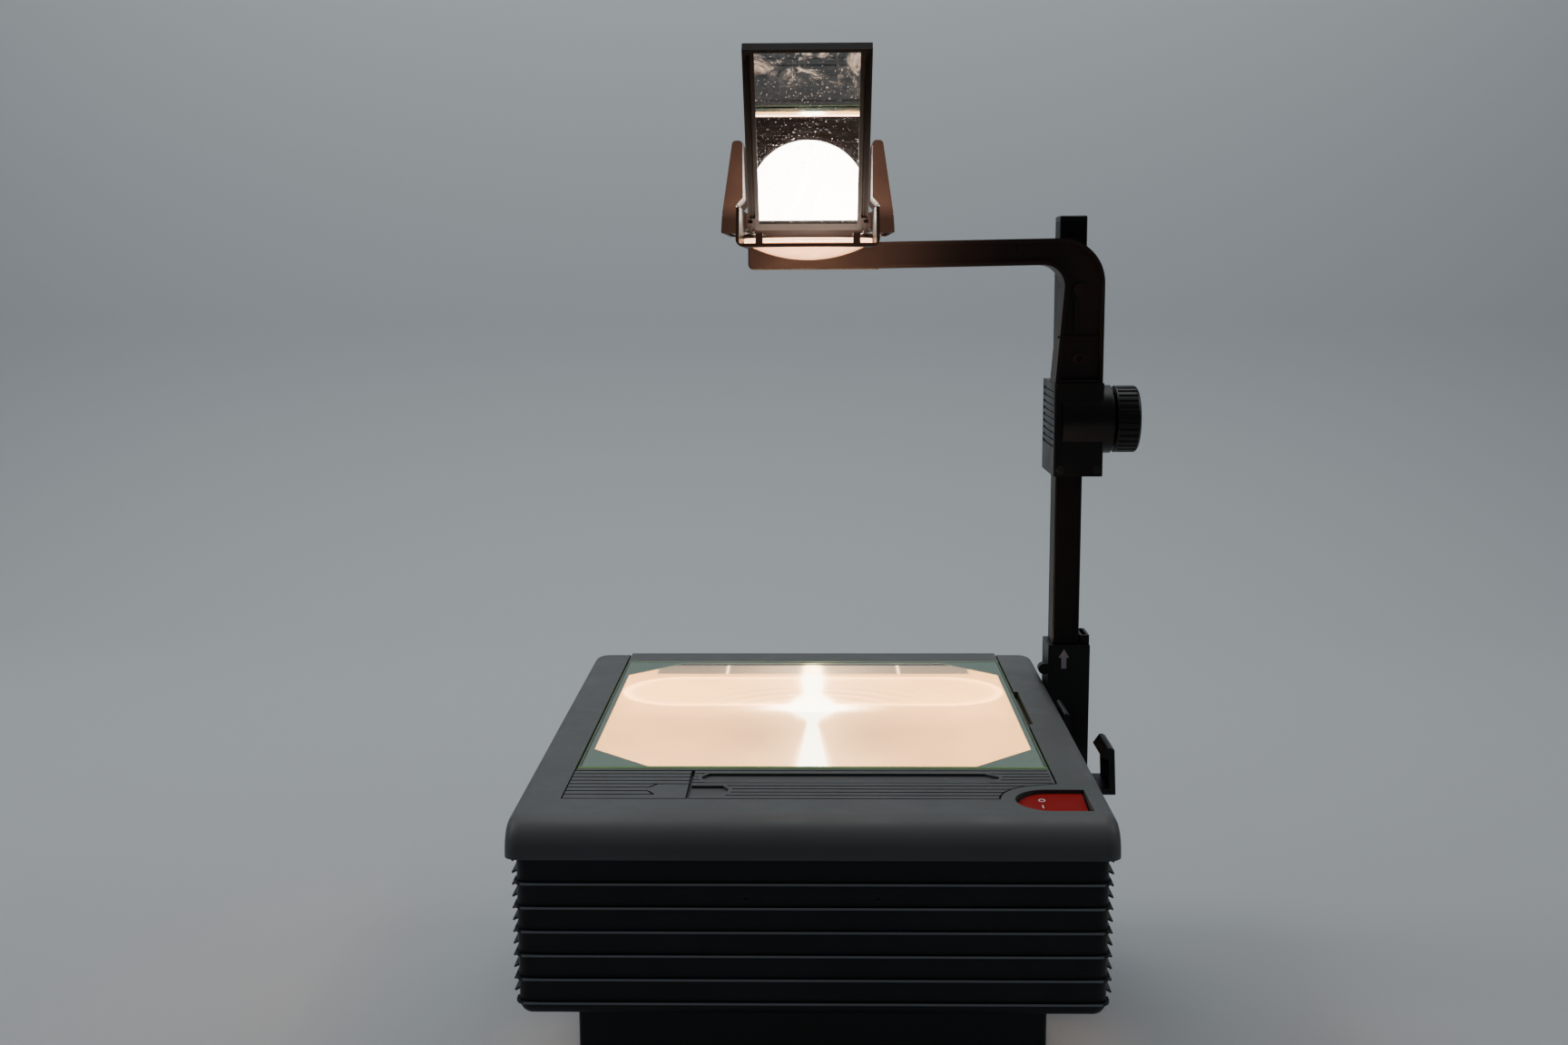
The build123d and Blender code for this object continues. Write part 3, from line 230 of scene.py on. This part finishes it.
def moulded_plastic(name, colour, rough, grain=0.12, grain_scale=2600, wear=1.6, worn=0.15, specular=0.5,
                    glow=0.0, shade=0.3, bead_highlight_y=None):
    """Moulded plastic with a fine spark-eroded grain, faint hand marks, rubbed edges that also carry a
    painted highlight, and grooves darkened as painted shade.

    wear multiplies the colour on rubbed edges, partly as wear and partly as a painted edge highlight; shade
    multiplies it in grooves as painted shade;
    worn is how much of an edge is lightened at least. Given the Y of the bead fronts, those fronts get a
    painted highlight. glow makes the plastic shine as painted light.
    """
    s = Shader(name)
    base = s.ramp(s.noise(9, 4), (0.25, tinted(colour, 0.93)), (0.75, tinted(colour, 1.07)))
    specks = s.ramp(s.noise(1400, 2), (0.60, 0.0), (0.72, 1.0))
    base = s.mix(s.math("MULTIPLY", specks, 0.10), base, tinted(colour, 1.9))
    # rubbed edges: lighter partly as wear and partly as a painted edge highlight
    rubbed = s.math("MULTIPLY", s.edges(0.9 * MM), s.ramp(s.noise(60, 4), (0.35, worn), (0.7, 0.8)))
    base = s.mix(rubbed, base, tinted(colour, wear))
    # painted highlight on the bead fronts at the given Y
    if bead_highlight_y:
        painted_bead_highlight = s.beyond(s.times(s.axis("Y"), -1.0), -bead_highlight_y - 0.5 * MM, 0.15 * MM)
        base = s.mix(painted_bead_highlight, base, tinted(colour, 17.0))
    # painted shade: grooves, seams and corners darkened to shade times the colour
    base = s.mix(s.open_to_light(3 * MM), tinted(colour, shade), base)
    marks = s.ramp(s.noise(24, 6, 0.65, distortion=0.6), (0.4, rough + 0.05), (0.68, rough - 0.07))
    height = s.noise(grain_scale, 3, 0.7)
    s.set(color=base, rough=marks, specular=specular, normal=s.bump(height, grain, 0.12 * MM))
    # glow: painted light, when set
    s.set(emission=base, glow=glow)
    return s.material


def painted_metal(name, colour, rough, coat=0.0, ripple=0.05, specular=0.5):
    """Sprayed paint on sheet metal, with a faint orange peel and chipped edges."""
    s = Shader(name)
    base = s.ramp(s.noise(7, 3), (0.3, tinted(colour, 0.9)), (0.7, tinted(colour, 1.12)))
    chips = s.math("MULTIPLY", s.edges(0.6 * MM), s.ramp(s.noise(180, 5), (0.58, 0.0), (0.66, 1.0)))
    base = s.mix(chips, base, (0.32, 0.31, 0.30))
    gloss = s.ramp(s.noise(16, 6, 0.7), (0.35, rough), (0.7, rough + 0.1))
    peel = s.bump(s.noise(420, 2), ripple, 0.2 * MM)
    s.set(color=base, rough=gloss, coat=coat, coat_rough=0.06, metal=chips, normal=peel, specular=specular)
    return s.material


def bare_metal(name, colour, rough, brushed=(1, 1, 60)):
    """Plain or plated metal with fine machining lines."""
    s = Shader(name)
    lines = s.noise(500, 3, 0.6, coords=s.stretch(*brushed))
    base = s.ramp(s.noise(35, 4), (0.3, tinted(colour, 0.82)), (0.7, tinted(colour, 1.1)))
    gloss = s.rescale(lines, 0.3, 0.7, rough - 0.06, rough + 0.1)
    s.set(color=base, rough=gloss, metal=1.0, normal=s.bump(lines, 0.10, 0.05 * MM))
    return s.material


def clear_glass(name, colour, dust=0.05, glow=0.0, glow_colour=(1.0, 0.93, 0.82), clear=1.0):
    """Polished glass with a little dust, which can glow: on the bulb as the lamp itself, on a lens as painted
    light where it passes the lamp's light.
    """
    s = Shader(name)
    specks = s.ramp(s.noise(900, 4, 0.7), (0.64, 0.0), (0.72, 1.0))
    smear = s.ramp(s.noise(14, 5, 0.6, distortion=1.2), (0.45, 0.0), (0.8, 1.0))
    rough = s.math("ADD", s.math("MULTIPLY", specks, dust), s.math("MULTIPLY", smear, 0.03))
    s.set(color=colour, rough=rough, transmission=clear, ior=1.5)
    s.set(emission=glow_colour, glow=glow)
    return s.material


def lit_lens(name):
    """The upper lens, glowing with painted light: its face shows the lamp's light passing upward, its ground
    rim only a warm rest of it.
    """
    s = Shader(name)
    face = s.facing("Z")
    specks = s.ramp(s.noise(900, 4, 0.7), (0.64, 0.0), (0.72, 1.0))
    s.set(color=(1.0, 0.98, 0.95), rough=s.add(s.times(specks, 0.03), 0.02), transmission=0.3)
    # painted light: the face glows bright and white, the rim a dim orange
    s.set(emission=s.mix(face, (1.0, 0.43, 0.17), (1.0, 0.93, 0.82)), glow=s.add(s.times(face, 13.0), 1.9))
    return s.material


def mirror_silver(name):
    """Front-silvered mirror with bright dust, wiped streaks and cloudy smears near its far end, which also
    glow as painted light: warm near the lens, a bluish painted reflection of the room at the far end.
    """
    s = Shader(name)
    dust = s.ramp(s.noise(640, 3, 0.7), (0.64, 0.0), (0.68, 1.0))
    wiped = s.noise(70, 5, 0.7, coords=s.stretch(0.5, 9, 9), distortion=0.4)
    streaks = s.ramp(wiped, (0.46, 0.0), (0.72, 1.0))
    clouds = s.ramp(s.noise(52, 7, 0.68, distortion=1.0), (0.48, 0.0), (0.66, 1.0))
    far_end = s.beyond(s.axis("Z"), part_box("mirror_glass")[1].z - 18.9 * MM, 12 * MM)
    haze = s.add(s.times(clouds, far_end, 0.85), s.times(streaks, 0.09))
    dust_and_glow = s.math("MAXIMUM", s.times(dust, 0.9), haze)
    s.set(color=s.mix(dust_and_glow, (0.80, 0.80, 0.81), (0.78, 0.74, 0.72)))
    s.set(rough=s.add(s.times(dust_and_glow, 0.45), 0.012))
    s.set(metal=s.math("SUBTRACT", 1.0, s.times(dust_and_glow, 0.9), clamp=True))
    # painted light: the dust and smears glow, warm near the lens and bluish at the far end as a painted
    # reflection of the room
    s.set(emission=s.mix(far_end, (1.0, 0.78, 0.62), (0.80, 0.86, 1.0)), glow=s.times(dust_and_glow, 0.12))
    return s.material


def lit_fresnel(name):
    """The grooved lens over the lamp, glowing with painted warm light: a bright streak, a knot, arcs and a
    paler band.
    """
    s = Shader(name)
    x = s.axis("X")
    y = s.axis("Y")
    across = s.math("ABSOLUTE", x)
    # painted highlight: a streak from front to rear, narrow at its waist and wider towards both ends, the
    # front most
    past_waist = s.math("ADD", y, 35 * MM)
    ahead = s.math("MAXIMUM", s.times(past_waist, -1.0), 0.0)
    behind = s.math("MAXIMUM", past_waist, 0.0)
    streak = s.hill(across, s.add(s.times(ahead, 0.048), s.times(behind, 0.014), 2.8 * MM))
    halo = s.times(s.hill(across, 48 * MM), 0.34)

    def patch(half_width, middle, half_depth):
        """A soft spot on the centre line."""
        return s.times(s.hill(across, half_width), s.hill(s.math("SUBTRACT", y, middle), half_depth))

    wings = patch(30 * MM, 12 * MM, 9 * MM)
    knot = patch(9.5 * MM, 16 * MM, 22 * MM)
    rear_patch = patch(8 * MM, 95 * MM, 40 * MM)
    # painted shade: dark arcs behind the knot, centred ahead of it
    from_front = s.away_from((0.0, -30 * MM, -6 * MM))
    ripple = s.math("POWER", s.rescale(s.math("SINE", s.times(from_front, 450.0)), -1, 1), 2.0)
    arcs = s.times(ripple, patch(75 * MM, 46 * MM, 30 * MM), -0.75)
    # painted light: a band with rounded ends, palest along its rim
    past_straight = s.math("MAXIMUM", s.math("SUBTRACT", across, 98 * MM), 0.0)
    from_spine = s.math("SUBTRACT", y, 62 * MM)
    squares = s.add(s.times(past_straight, past_straight), s.times(from_spine, from_spine))
    from_middle = s.math("SQRT", squares)
    inside_band = s.math("SUBTRACT", 1.0, s.beyond(from_middle, 44 * MM, 1.5 * MM))
    rim = s.times(s.hill(s.math("SUBTRACT", from_middle, 42 * MM), 5 * MM), 0.9)
    band = s.times(inside_band, s.add(0.45, rim))
    # painted shade: a soft dim patch on each side in the front half
    beside = s.hill(s.math("SUBTRACT", across, 36 * MM), 30 * MM)
    dim = s.times(beside, s.hill(s.math("ADD", y, 60 * MM), 50 * MM), -0.42)
    mottled = s.rescale(s.noise(14, 3, 0.5, distortion=0.8), 0.3, 0.7, 0.88, 1.10)
    field = s.times(s.add(1.0, band, arcs, dim), mottled)
    # painted shade: the dull strip at the rear, where the lamp's light stops, with three upright marks of
    # painted light
    short_of_corners = s.math("SUBTRACT", 1.0, s.beyond(across, 122 * MM, 1 * MM))
    rear = s.times(s.beyond(y, 116 * MM, 0.8 * MM), short_of_corners)
    field = s.times(field, s.math("SUBTRACT", 1.0, s.times(rear, 0.86)))
    for place in (-67 * MM, 0.0, 67 * MM):
        mark = s.times(s.hill(s.math("SUBTRACT", x, place), 1.1 * MM), rear)
        field = s.add(field, s.times(mark, 1.2))
    # painted highlights: the streak, knot, side spots, rear patch and halo, brighter and whiter
    painted_shine = s.add(s.times(streak, 7.0), s.times(knot, 18.0), s.times(wings, 4.2))
    painted_shine = s.add(painted_shine, s.times(rear_patch, 3.0), halo)
    white = s.rescale(painted_shine, 0.0, 3.4)
    cream = s.mix(white, (1.0, 0.43, 0.125), (1.0, 0.86, 0.66))
    warm = s.mix(rear, cream, (1.0, 0.62, 0.36))
    s.set(color=(0.55, 0.52, 0.46), rough=0.25, emission=warm, glow=s.times(s.add(field, painted_shine), 4.7))
    return s.material


def lit_plastic(name, colour, rough, source, strength, reach, rim=None, foot=None, specular=0.35, dust=0.4):
    """Dark brown plastic close to the lens, whose front faces glow warm with painted stray lamp light.

    Where rim is given, a painted highlight shines along the upper edge at that Y. Where foot is given, the
    painted glow fades below that Z.
    """
    s = Shader(name)
    patches = s.noise(12, 4)
    base = s.ramp(patches, (0.25, tinted(colour, 0.85)), (0.75, tinted(colour, 1.2)))
    rubbed = s.times(s.edges(0.7 * MM), s.ramp(s.noise(60, 4), (0.35, 0.1), (0.7, 0.6)))
    base = s.mix(rubbed, base, tinted(colour, 3.0))
    cloudy = s.rescale(s.noise(22, 4), 0.3, 0.7, 0.75, 1.15)
    # painted light: a warm glow falling off away from the lens, strongest on front faces
    painted_stray_light = s.times(s.hill(s.away_from(source), reach), cloudy)
    painted_stray_light = s.times(painted_stray_light, s.add(0.12, s.times(s.facing("Y", -1.0), 0.88)))
    if foot:
        painted_stray_light = s.times(painted_stray_light, s.rescale(s.axis("Z"), foot - 3 * MM, foot + 6 * MM, 0.35, 1.0))
    specks = s.ramp(s.noise(1200, 3), (0.66, 0.0), (0.74, dust))
    s.set(color=s.mix(specks, base, tinted(colour, 6.0)), specular=specular)
    s.set(rough=s.rescale(patches, 0.3, 0.7, rough - 0.05, rough + 0.08))
    glow = s.times(painted_stray_light, strength)
    if rim:
        # painted highlight: a thin bright line along the upper edge at the rim's Y
        painted_rim_highlight = s.times(s.hill(s.math("SUBTRACT", s.axis("Y"), rim), 0.5 * MM), s.facing("Z"))
        glow = s.add(glow, s.times(painted_rim_highlight, 14.0))
        s.set(emission=s.mix(painted_rim_highlight, (1.0, 0.47, 0.30), (1.0, 0.80, 0.62)))
    else:
        s.set(emission=(1.0, 0.47, 0.30))
    s.set(glow=glow)
    s.set(normal=s.bump(s.noise(2000, 3, 0.7), 0.12, 0.12 * MM))
    return s.material


def lit_edge(name):
    """The ground green edge of the plate glass, whose glow is painted light carried out of the stage."""
    s = Shader(name)
    uneven = s.rescale(s.noise(30, 4), 0.3, 0.7, 0.6, 1.1)
    s.set(color=(0.30, 0.46, 0.26), rough=0.35, emission=(0.42, 0.72, 0.28), glow=s.times(uneven, 0.16))
    s.set(normal=s.bump(s.noise(900, 3), 0.2, 0.1 * MM))
    return s.material


def rubber(name):
    s = Shader(name)
    colour = (0.025, 0.025, 0.027)
    base = s.ramp(s.noise(40, 4), (0.3, tinted(colour, 0.8)), (0.7, tinted(colour, 1.6)))
    s.set(color=base, rough=0.85, normal=s.bump(s.noise(1500, 3), 0.25, 0.1 * MM))
    return s.material


def glazed(name, colour, rough=0.35):
    """Ceramic and tape: a soft, slightly mottled body colour."""
    s = Shader(name)
    base = s.ramp(s.noise(55, 5), (0.3, tinted(colour, 0.85)), (0.7, tinted(colour, 1.08)))
    s.set(color=base, rough=rough, normal=s.bump(s.noise(700, 3), 0.08, 0.1 * MM))
    return s.material


def printed(name, colour):
    s = Shader(name)
    base = s.mix(s.ramp(s.noise(900, 3), (0.62, 0.0), (0.7, 0.5)), colour, tinted(colour, 0.6))
    s.set(color=base, rough=0.5, normal=s.bump(s.noise(1500, 2), 0.05, 0.05 * MM))
    return s.material


def wound_tape(name):
    """Amber tape round the transformer's winding, in overlapping turns."""
    s = Shader(name)
    turns = s.math("SINE", s.math("MULTIPLY", s.axis("Z"), 900.0))
    base = s.mix(s.rescale(turns, -1, 1), (0.42, 0.25, 0.04), (0.62, 0.40, 0.09))
    s.set(color=base, rough=0.3, coat=0.4, normal=s.bump(turns, 0.3, 0.2 * MM))
    return s.material


def laminations(name):
    """Varnished transformer steel, in thin sheets stacked front to rear."""
    s = Shader(name)
    sheets = s.math("SINE", s.math("MULTIPLY", s.axis("Y"), 9000.0))
    base = s.mix(s.rescale(sheets, -1, 1), (0.09, 0.075, 0.06), (0.22, 0.19, 0.15))
    s.set(color=base, rough=0.4, metal=0.7, normal=s.bump(sheets, 0.3, 0.1 * MM))
    return s.material


cover_grey = (0.098, 0.105, 0.105)
housing_grey = (0.0115, 0.0125, 0.0135)
black = (0.0045, 0.0043, 0.0040)
head_brown = (0.020, 0.0125, 0.0100)

finishes = {
    "cover_plastic": moulded_plastic("cover_plastic", cover_grey, 0.50, wear=1.35, specular=0.36),
    "housing_plastic": moulded_plastic("housing_plastic", housing_grey, 0.50, wear=4.0, specular=0.30),
    "black_plastic": moulded_plastic("black_plastic", black, 0.40, grain=0.16, grain_scale=2000, wear=3.0,
                                     specular=0.40),
    "lamp_house_gloss": painted_metal("lamp_house_gloss", (0.003, 0.003, 0.0032), 0.16, coat=0.1, ripple=0.03,
                                      specular=0.2),
    "post_paint": painted_metal("post_paint", (0.005, 0.005, 0.0052), 0.42, specular=0.25),
    "stage_glass": clear_glass("stage_glass", (0.93, 0.985, 0.95)),
    # painted light: the mask glows for the lamp light reaching it through the glass
    "mask_paint": moulded_plastic("mask_paint", (0.42, 0.53, 0.46), 0.55, grain=0.05, wear=1.0, glow=0.16,
                                  shade=1.0),
    "fresnel_acrylic": lit_fresnel("fresnel_acrylic"),
    "optical_glass": clear_glass("optical_glass", (0.96, 0.98, 1.0), dust=0.03),
    "mirror_face": mirror_silver("mirror_face"),
    "rocker_red": moulded_plastic("rocker_red", (0.30, 0.005, 0.004), 0.40, grain=0.05, wear=1.3,
                                  specular=0.08),
    "mark_white": printed("mark_white", (0.86, 0.86, 0.85)),
    "arrow_grey": printed("arrow_grey", (0.34, 0.33, 0.42)),
    "steel_zinc": bare_metal("steel_zinc", (0.56, 0.57, 0.60), 0.30),
    "screw_black": painted_metal("screw_black", (0.02, 0.02, 0.02), 0.35),
    "shaft_steel": bare_metal("shaft_steel", (0.52, 0.52, 0.52), 0.24, brushed=(60, 1, 1)),
    "rack_metal": bare_metal("rack_metal", (0.38, 0.38, 0.38), 0.36, brushed=(60, 60, 1)),
    "core_steel": laminations("core_steel"),
    "coil_tape": wound_tape("coil_tape"),
    "ceramic": glazed("ceramic", (0.72, 0.68, 0.58)),
    "bulb_glass": clear_glass("bulb_glass", (0.98, 0.97, 0.94), glow=2.0),
    "reflector_metal": bare_metal("reflector_metal", (0.8, 0.8, 0.8), 0.12),
    "bracket_steel": bare_metal("bracket_steel", (0.42, 0.42, 0.43), 0.38),
    "fan_plastic": moulded_plastic("fan_plastic", (0.016, 0.016, 0.018), 0.48, wear=1.8),
    "rubber": rubber("rubber"),
}
lens_low, lens_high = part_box("lens_upper")
lens_middle = tuple((lens_low + lens_high) / 2)
# painted light: the head's plastics glow warm with stray light near the lens
head_plastic = lit_plastic("head_plastic", head_brown, 0.42, lens_middle, 0.15, 80 * MM)
cradle_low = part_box("lens_plate")[0]
# the Y of the painted highlight along the cradle's front edge
cradle_highlight_y = cradle_low.y + 0.4 * MM
wing_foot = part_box("wing_left")[0].z + 12 * MM
wing_plastic = lit_plastic("wing_plastic", head_brown, 0.45, lens_middle, 0.36, 78 * MM, foot=wing_foot)
# painted highlights on the lower housing: its bead fronts and edges are lightened for light catching them,
# and shade 0.8 keeps its painted groove shade faint
bead_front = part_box("lower_housing")[0].y
housing_shell = moulded_plastic("housing_shell", housing_grey, 0.50, wear=5.0, worn=0.5, specular=0.30,
                                shade=0.8, bead_highlight_y=bead_front)
own_finish = {
    "lower_housing": housing_shell,
    "lens_upper": lit_lens("lens_upper_lit"),
    # painted light: the lower lens glows orange for the lamp light passing through it
    "lens_lower": clear_glass("lens_lower_lit", (0.42, 0.27, 0.17), dust=0.05, glow=1.1,
                              glow_colour=(1.0, 0.42, 0.17), clear=0.4),
    "wing_left": wing_plastic,
    "wing_right": wing_plastic,
    # painted light, with a painted highlight along the cradle's front edge
    "lens_plate": lit_plastic("cradle_plastic", head_brown, 0.42, lens_middle, 0.05, 70 * MM, rim=cradle_highlight_y,
                              specular=0.12),
    "mirror_tray": lit_plastic("tray_plastic", tinted(head_brown, 0.45), 0.50, lens_middle, 0.05, 75 * MM,
                               specular=0.07, dust=0.2),
    "head_bridge": head_plastic,
    "lens_ring": head_plastic,
    "arm_sleeve": head_plastic,
    "head_arm": head_plastic,
}

slot_of = {entry["node"]: entry["material_slot"] for entry in frame["record"]["subparts"]}


def paint_frame():
    """Gives every node of the frame its own finish, or else its slot's."""
    for name, piece in nodes.items():
        piece.data.materials.clear()
        piece.data.materials.append(own_finish.get(name) or finishes[slot_of[name]])
        piece.data.shade_smooth()
        piece.data.set_sharp_from_angle(angle=math.radians(28))


# ---------------------------------------------------------------- meshes made here

def mesh_piece(name, bm, body, slot, material=None, smooth=True, angle=35):
    """Turns a finished bmesh into a piece that rides on a body, with its slot's finish or one of its own."""
    bmesh.ops.remove_doubles(bm, verts=bm.verts, dist=1e-6)
    bmesh.ops.recalc_face_normals(bm, faces=bm.faces)
    data = bpy.data.meshes.new(name)
    bm.to_mesh(data)
    bm.free()
    piece = bpy.data.objects.new(name, data)
    bpy.context.scene.collection.objects.link(piece)
    data.materials.append(material or finishes[slot])
    if smooth:
        data.shade_smooth()
        data.set_sharp_from_angle(angle=math.radians(angle))
    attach(piece, body)
    return piece


def make_fresnel():
    """A square sheet whose upper face is cut in fine rings round its centre."""
    low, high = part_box("fresnel_lens")
    half = (high.x - low.x) / 2
    pitch = 1.6 * MM
    depth = 0.35 * MM
    turns = 144
    top = high.z - 0.05 * MM
    bm = bmesh.new()
    centre = bm.verts.new((0, 0, top))
    previous = None
    ring_count = int(half * math.sqrt(2) / pitch) + 2
    for i in range(1, ring_count):
        for radius, z in ((i * pitch - 0.1 * MM, top - depth), (i * pitch, top)):
            ring = [
                bm.verts.new((radius * math.cos(a), radius * math.sin(a), z))
                for a in (2 * math.pi * k / turns for k in range(turns))
            ]
            for k in range(turns):
                following = (k + 1) % turns
                if previous is None:
                    bm.faces.new((centre, ring[k], ring[following]))
                else:
                    bm.faces.new((previous[k], ring[k], ring[following], previous[following]))
            previous = ring
    for normal in ((1, 0, 0), (-1, 0, 0), (0, 1, 0), (0, -1, 0)):
        bmesh.ops.bisect_plane(
            bm,
            geom=bm.verts[:] + bm.edges[:] + bm.faces[:],
            dist=1e-7,
            plane_co=Vector(normal) * half,
            plane_no=normal,
            clear_outer=True,
        )
    rim = [edge for edge in bm.edges if edge.is_boundary]
    lower = bmesh.ops.extrude_edge_only(bm, edges=rim)["geom"]
    for vertex in (item for item in lower if isinstance(item, bmesh.types.BMVert)):
        vertex.co.z = low.z
    bmesh.ops.contextual_create(bm, geom=[edge for edge in bm.edges if edge.is_boundary])
    sheet = mesh_piece("fresnel_sheet", bm, "lid", "fresnel_acrylic", angle=60)
    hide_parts("fresnel_lens")


def tube_along(bm, points, radius, sides):
    """Adds a round tube that follows the points, closed at both ends."""
    rings = []
    for i, point in enumerate(points):
        ahead = points[min(i + 1, len(points) - 1)]
        behind = points[max(i - 1, 0)]
        along = (ahead - behind).normalized()
        sideways = along.cross(Vector((0, 0, 1)))
        if sideways.length < 1e-4:
            sideways = along.cross(Vector((0, 1, 0)))
        sideways.normalize()
        up = sideways.cross(along)
        rings.append([
            bm.verts.new(point + radius * (math.cos(a) * sideways + math.sin(a) * up))
            for a in (2 * math.pi * k / sides for k in range(sides))
        ])
    for ring, following in zip(rings, rings[1:]):
        for k in range(sides):
            n = (k + 1) % sides
            bm.faces.new((ring[k], ring[n], following[n], following[k]))
    bm.faces.new(rings[0][::-1])
    bm.faces.new(rings[-1])


def make_filament():
    """The lamp's coiled filament and its two lead wires, inside the bulb."""
    low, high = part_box("lamp_bulb")
    axis_z = (low.z + high.z) / 2
    middle_y = high.y - 12 * MM
    coil_radius = 1.6 * MM
    steps_per_turn = 14
    step_count = 7 * steps_per_turn
    length = 9 * MM
    bm = bmesh.new()
    coil = []
    for i in range(step_count + 1):
        a = 2 * math.pi * i / steps_per_turn
        coil.append(Vector((
            length * (i / step_count - 0.5),
            middle_y + coil_radius * math.cos(a),
            axis_z + coil_radius * math.sin(a),
        )))
    tube_along(bm, coil, 0.25 * MM, sides=6)
    for end in (coil[0], coil[-1]):
        foot = Vector((end.x * 0.7, low.y + 16 * MM, axis_z))
        tube_along(bm, [end, (end + foot) / 2 + Vector((end.x * 0.2, 0, 0)), foot], 0.3 * MM, sides=6)
    s = Shader("hot_filament")
    s.set(color=(0.6, 0.5, 0.4), rough=0.4)
    s.set(emission=(1.0, 0.72, 0.42), glow=s.rescale(s.noise(900), 0.3, 0.7, 40, 60))
    mesh_piece("lamp_filament", bm, "base", "steel_zinc", material=s.material)


def make_lens_clips():
    """A curled spring wire under each of the two front clips, holding the lens ring down."""
    low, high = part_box("lens_ring")
    middle = (low + high) / 2
    half = (high.x - low.x) / 2
    for side in (-1, 1):
        bm = bmesh.new()
        points = []
        steps = 28
        for i in range(steps + 1):
            t = i / steps
            angle = math.radians(-130 + 290 * t)
            curl = 4.2 * MM * (1 - 0.4 * t)
            points.append(Vector((
                middle.x + side * (half * 0.86 + curl * math.cos(angle)),
                middle.y - half * 0.62 + curl * math.sin(angle),
                high.z + 0.7 * MM + 1.0 * MM * t,
            )))
        tube_along(bm, points, 0.7 * MM, sides=8)
        mesh_piece("lens_clip_" + ("right" if side > 0 else "left"), bm, "carriage", "shaft_steel")


def make_glass_edge():
    """The bevelled and ground edge that runs round the stage glass."""
    low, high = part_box("stage_glass")
    half = (high.x - low.x) / 2
    bevel = 0.65 * MM
    skin = 0.15 * MM
    clear = 0.03 * MM
    section = (
        (half - bevel, high.z + clear),
        (half + clear, high.z - bevel),
        (half + clear, low.z + clear),
        (half - skin, low.z + clear),
        (half - skin, high.z - bevel - skin),
        (half - bevel - skin, high.z - skin),
    )
    bm = bmesh.new()
    loops = [
        [bm.verts.new((x * reach, y * reach, z)) for x, y in ((1, 1), (-1, 1), (-1, -1), (1, -1))]
        for reach, z in section
    ]
    for i, loop in enumerate(loops):
        following = loops[(i + 1) % len(loops)]
        for k in range(4):
            n = (k + 1) % 4
            bm.faces.new((loop[k], loop[n], following[n], following[k]))
    mesh_piece("stage_glass_edge", bm, "lid", "stage_glass", material=lit_edge("lit_edge"), smooth=False)


# ---------------------------------------------------------------- floor, light and camera

def plain(name, colour, rough=0.9):
    s = Shader(name)
    s.set(color=colour, rough=rough)
    return s.material


def make_stage():
    """A pale floor that curves up into a grey wall behind."""
    floor_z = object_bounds()[0].z
    floor_rear = 1.3
    bend = 0.45
    bend_steps = 12
    half_width = 4.0
    bm = bmesh.new()
    profile = [(-3.0, 0.0), (floor_rear, 0.0)]
    for i in range(1, bend_steps + 1):
        a = math.radians(90 * i / bend_steps)
        profile.append((floor_rear + bend * math.sin(a), bend * (1 - math.cos(a))))
    profile.append((floor_rear + bend, 3.2))
    rows = [[bm.verts.new((x, y, floor_z + z)) for y, z in profile] for x in (-half_width, half_width)]
    for i in range(len(profile) - 1):
        bm.faces.new((rows[0][i], rows[1][i], rows[1][i + 1], rows[0][i + 1]))
    data = bpy.data.meshes.new("backdrop")
    bm.to_mesh(data)
    bm.free()
    data.shade_smooth()
    backdrop = bpy.data.objects.new("backdrop", data)
    bpy.context.scene.collection.objects.link(backdrop)
    data.materials.append(plain("backdrop_paper", (0.47, 0.50, 0.52)))


def add_light(name, place, target, size, power, colour):
    """A rectangular lamp at a place, turned to face its target."""
    data = bpy.data.lights.new(name, "AREA")
    data.shape = "RECTANGLE"
    data.size, data.size_y = size
    data.energy = power
    data.color = colour
    light = bpy.data.objects.new(name, data)
    light.location = place
    light.rotation_euler = (Vector(target) - Vector(place)).to_track_quat("-Z", "Y").to_euler()
    bpy.context.scene.collection.objects.link(light)


def make_lights():
    subject = (0, 0.1, 0)
    add_light("left_softbox", (-1.9, 0.2, 1.7), subject, (1.0, 1.0), 17, (0.95, 0.98, 1.0))
    add_light("right_softbox", (1.9, 0.0, 1.6), subject, (1.0, 1.0), 9, (0.97, 0.98, 1.0))
    add_light("top_softbox", (0, 0.5, 2.2), subject, (1.4, 1.0), 13, (0.98, 0.99, 1.0))
    add_light("wall_wash", (0, 1.15, 1.7), (0, 1.75, 0.8), (2.6, 0.3), 12, (0.93, 0.97, 1.0))
    world = bpy.data.worlds.new("room")
    world.use_nodes = True
    background = world.node_tree.nodes["Background"]
    background.inputs["Color"].default_value = (0.62, 0.65, 0.70, 1)
    background.inputs["Strength"].default_value = 0.11
    bpy.context.scene.world = world


def make_camera():
    """Level with the head, a little over a metre in front, looking slightly down."""
    place = (0.0028, -1.1791, 0.3061)
    yaw = math.radians(-1.10)
    pitch = math.radians(8.32)
    roll = math.radians(0.24)
    forward = Vector((math.sin(yaw) * math.cos(pitch), math.cos(yaw) * math.cos(pitch), -math.sin(pitch)))
    right = Vector((math.cos(yaw), -math.sin(yaw), 0))
    down = forward.cross(right)
    turned_right = math.cos(roll) * right + math.sin(roll) * down
    turned_down = -math.sin(roll) * right + math.cos(roll) * down
    axes = Matrix((turned_right, -turned_down, -forward)).transposed()
    data = bpy.data.cameras.new("camera")
    data.sensor_width = 36.0
    data.lens = 38.96
    data.clip_start = 0.05
    camera = bpy.data.objects.new("camera", data)
    camera.matrix_world = Matrix.Translation(place) @ axes.to_4x4()
    bpy.context.scene.collection.objects.link(camera)
    bpy.context.scene.camera = camera


make_camera()
paint_frame()
make_fresnel()
make_filament()
make_lens_clips()
make_glass_edge()
make_stage()
make_lights()

bpy.context.view_layer.update()
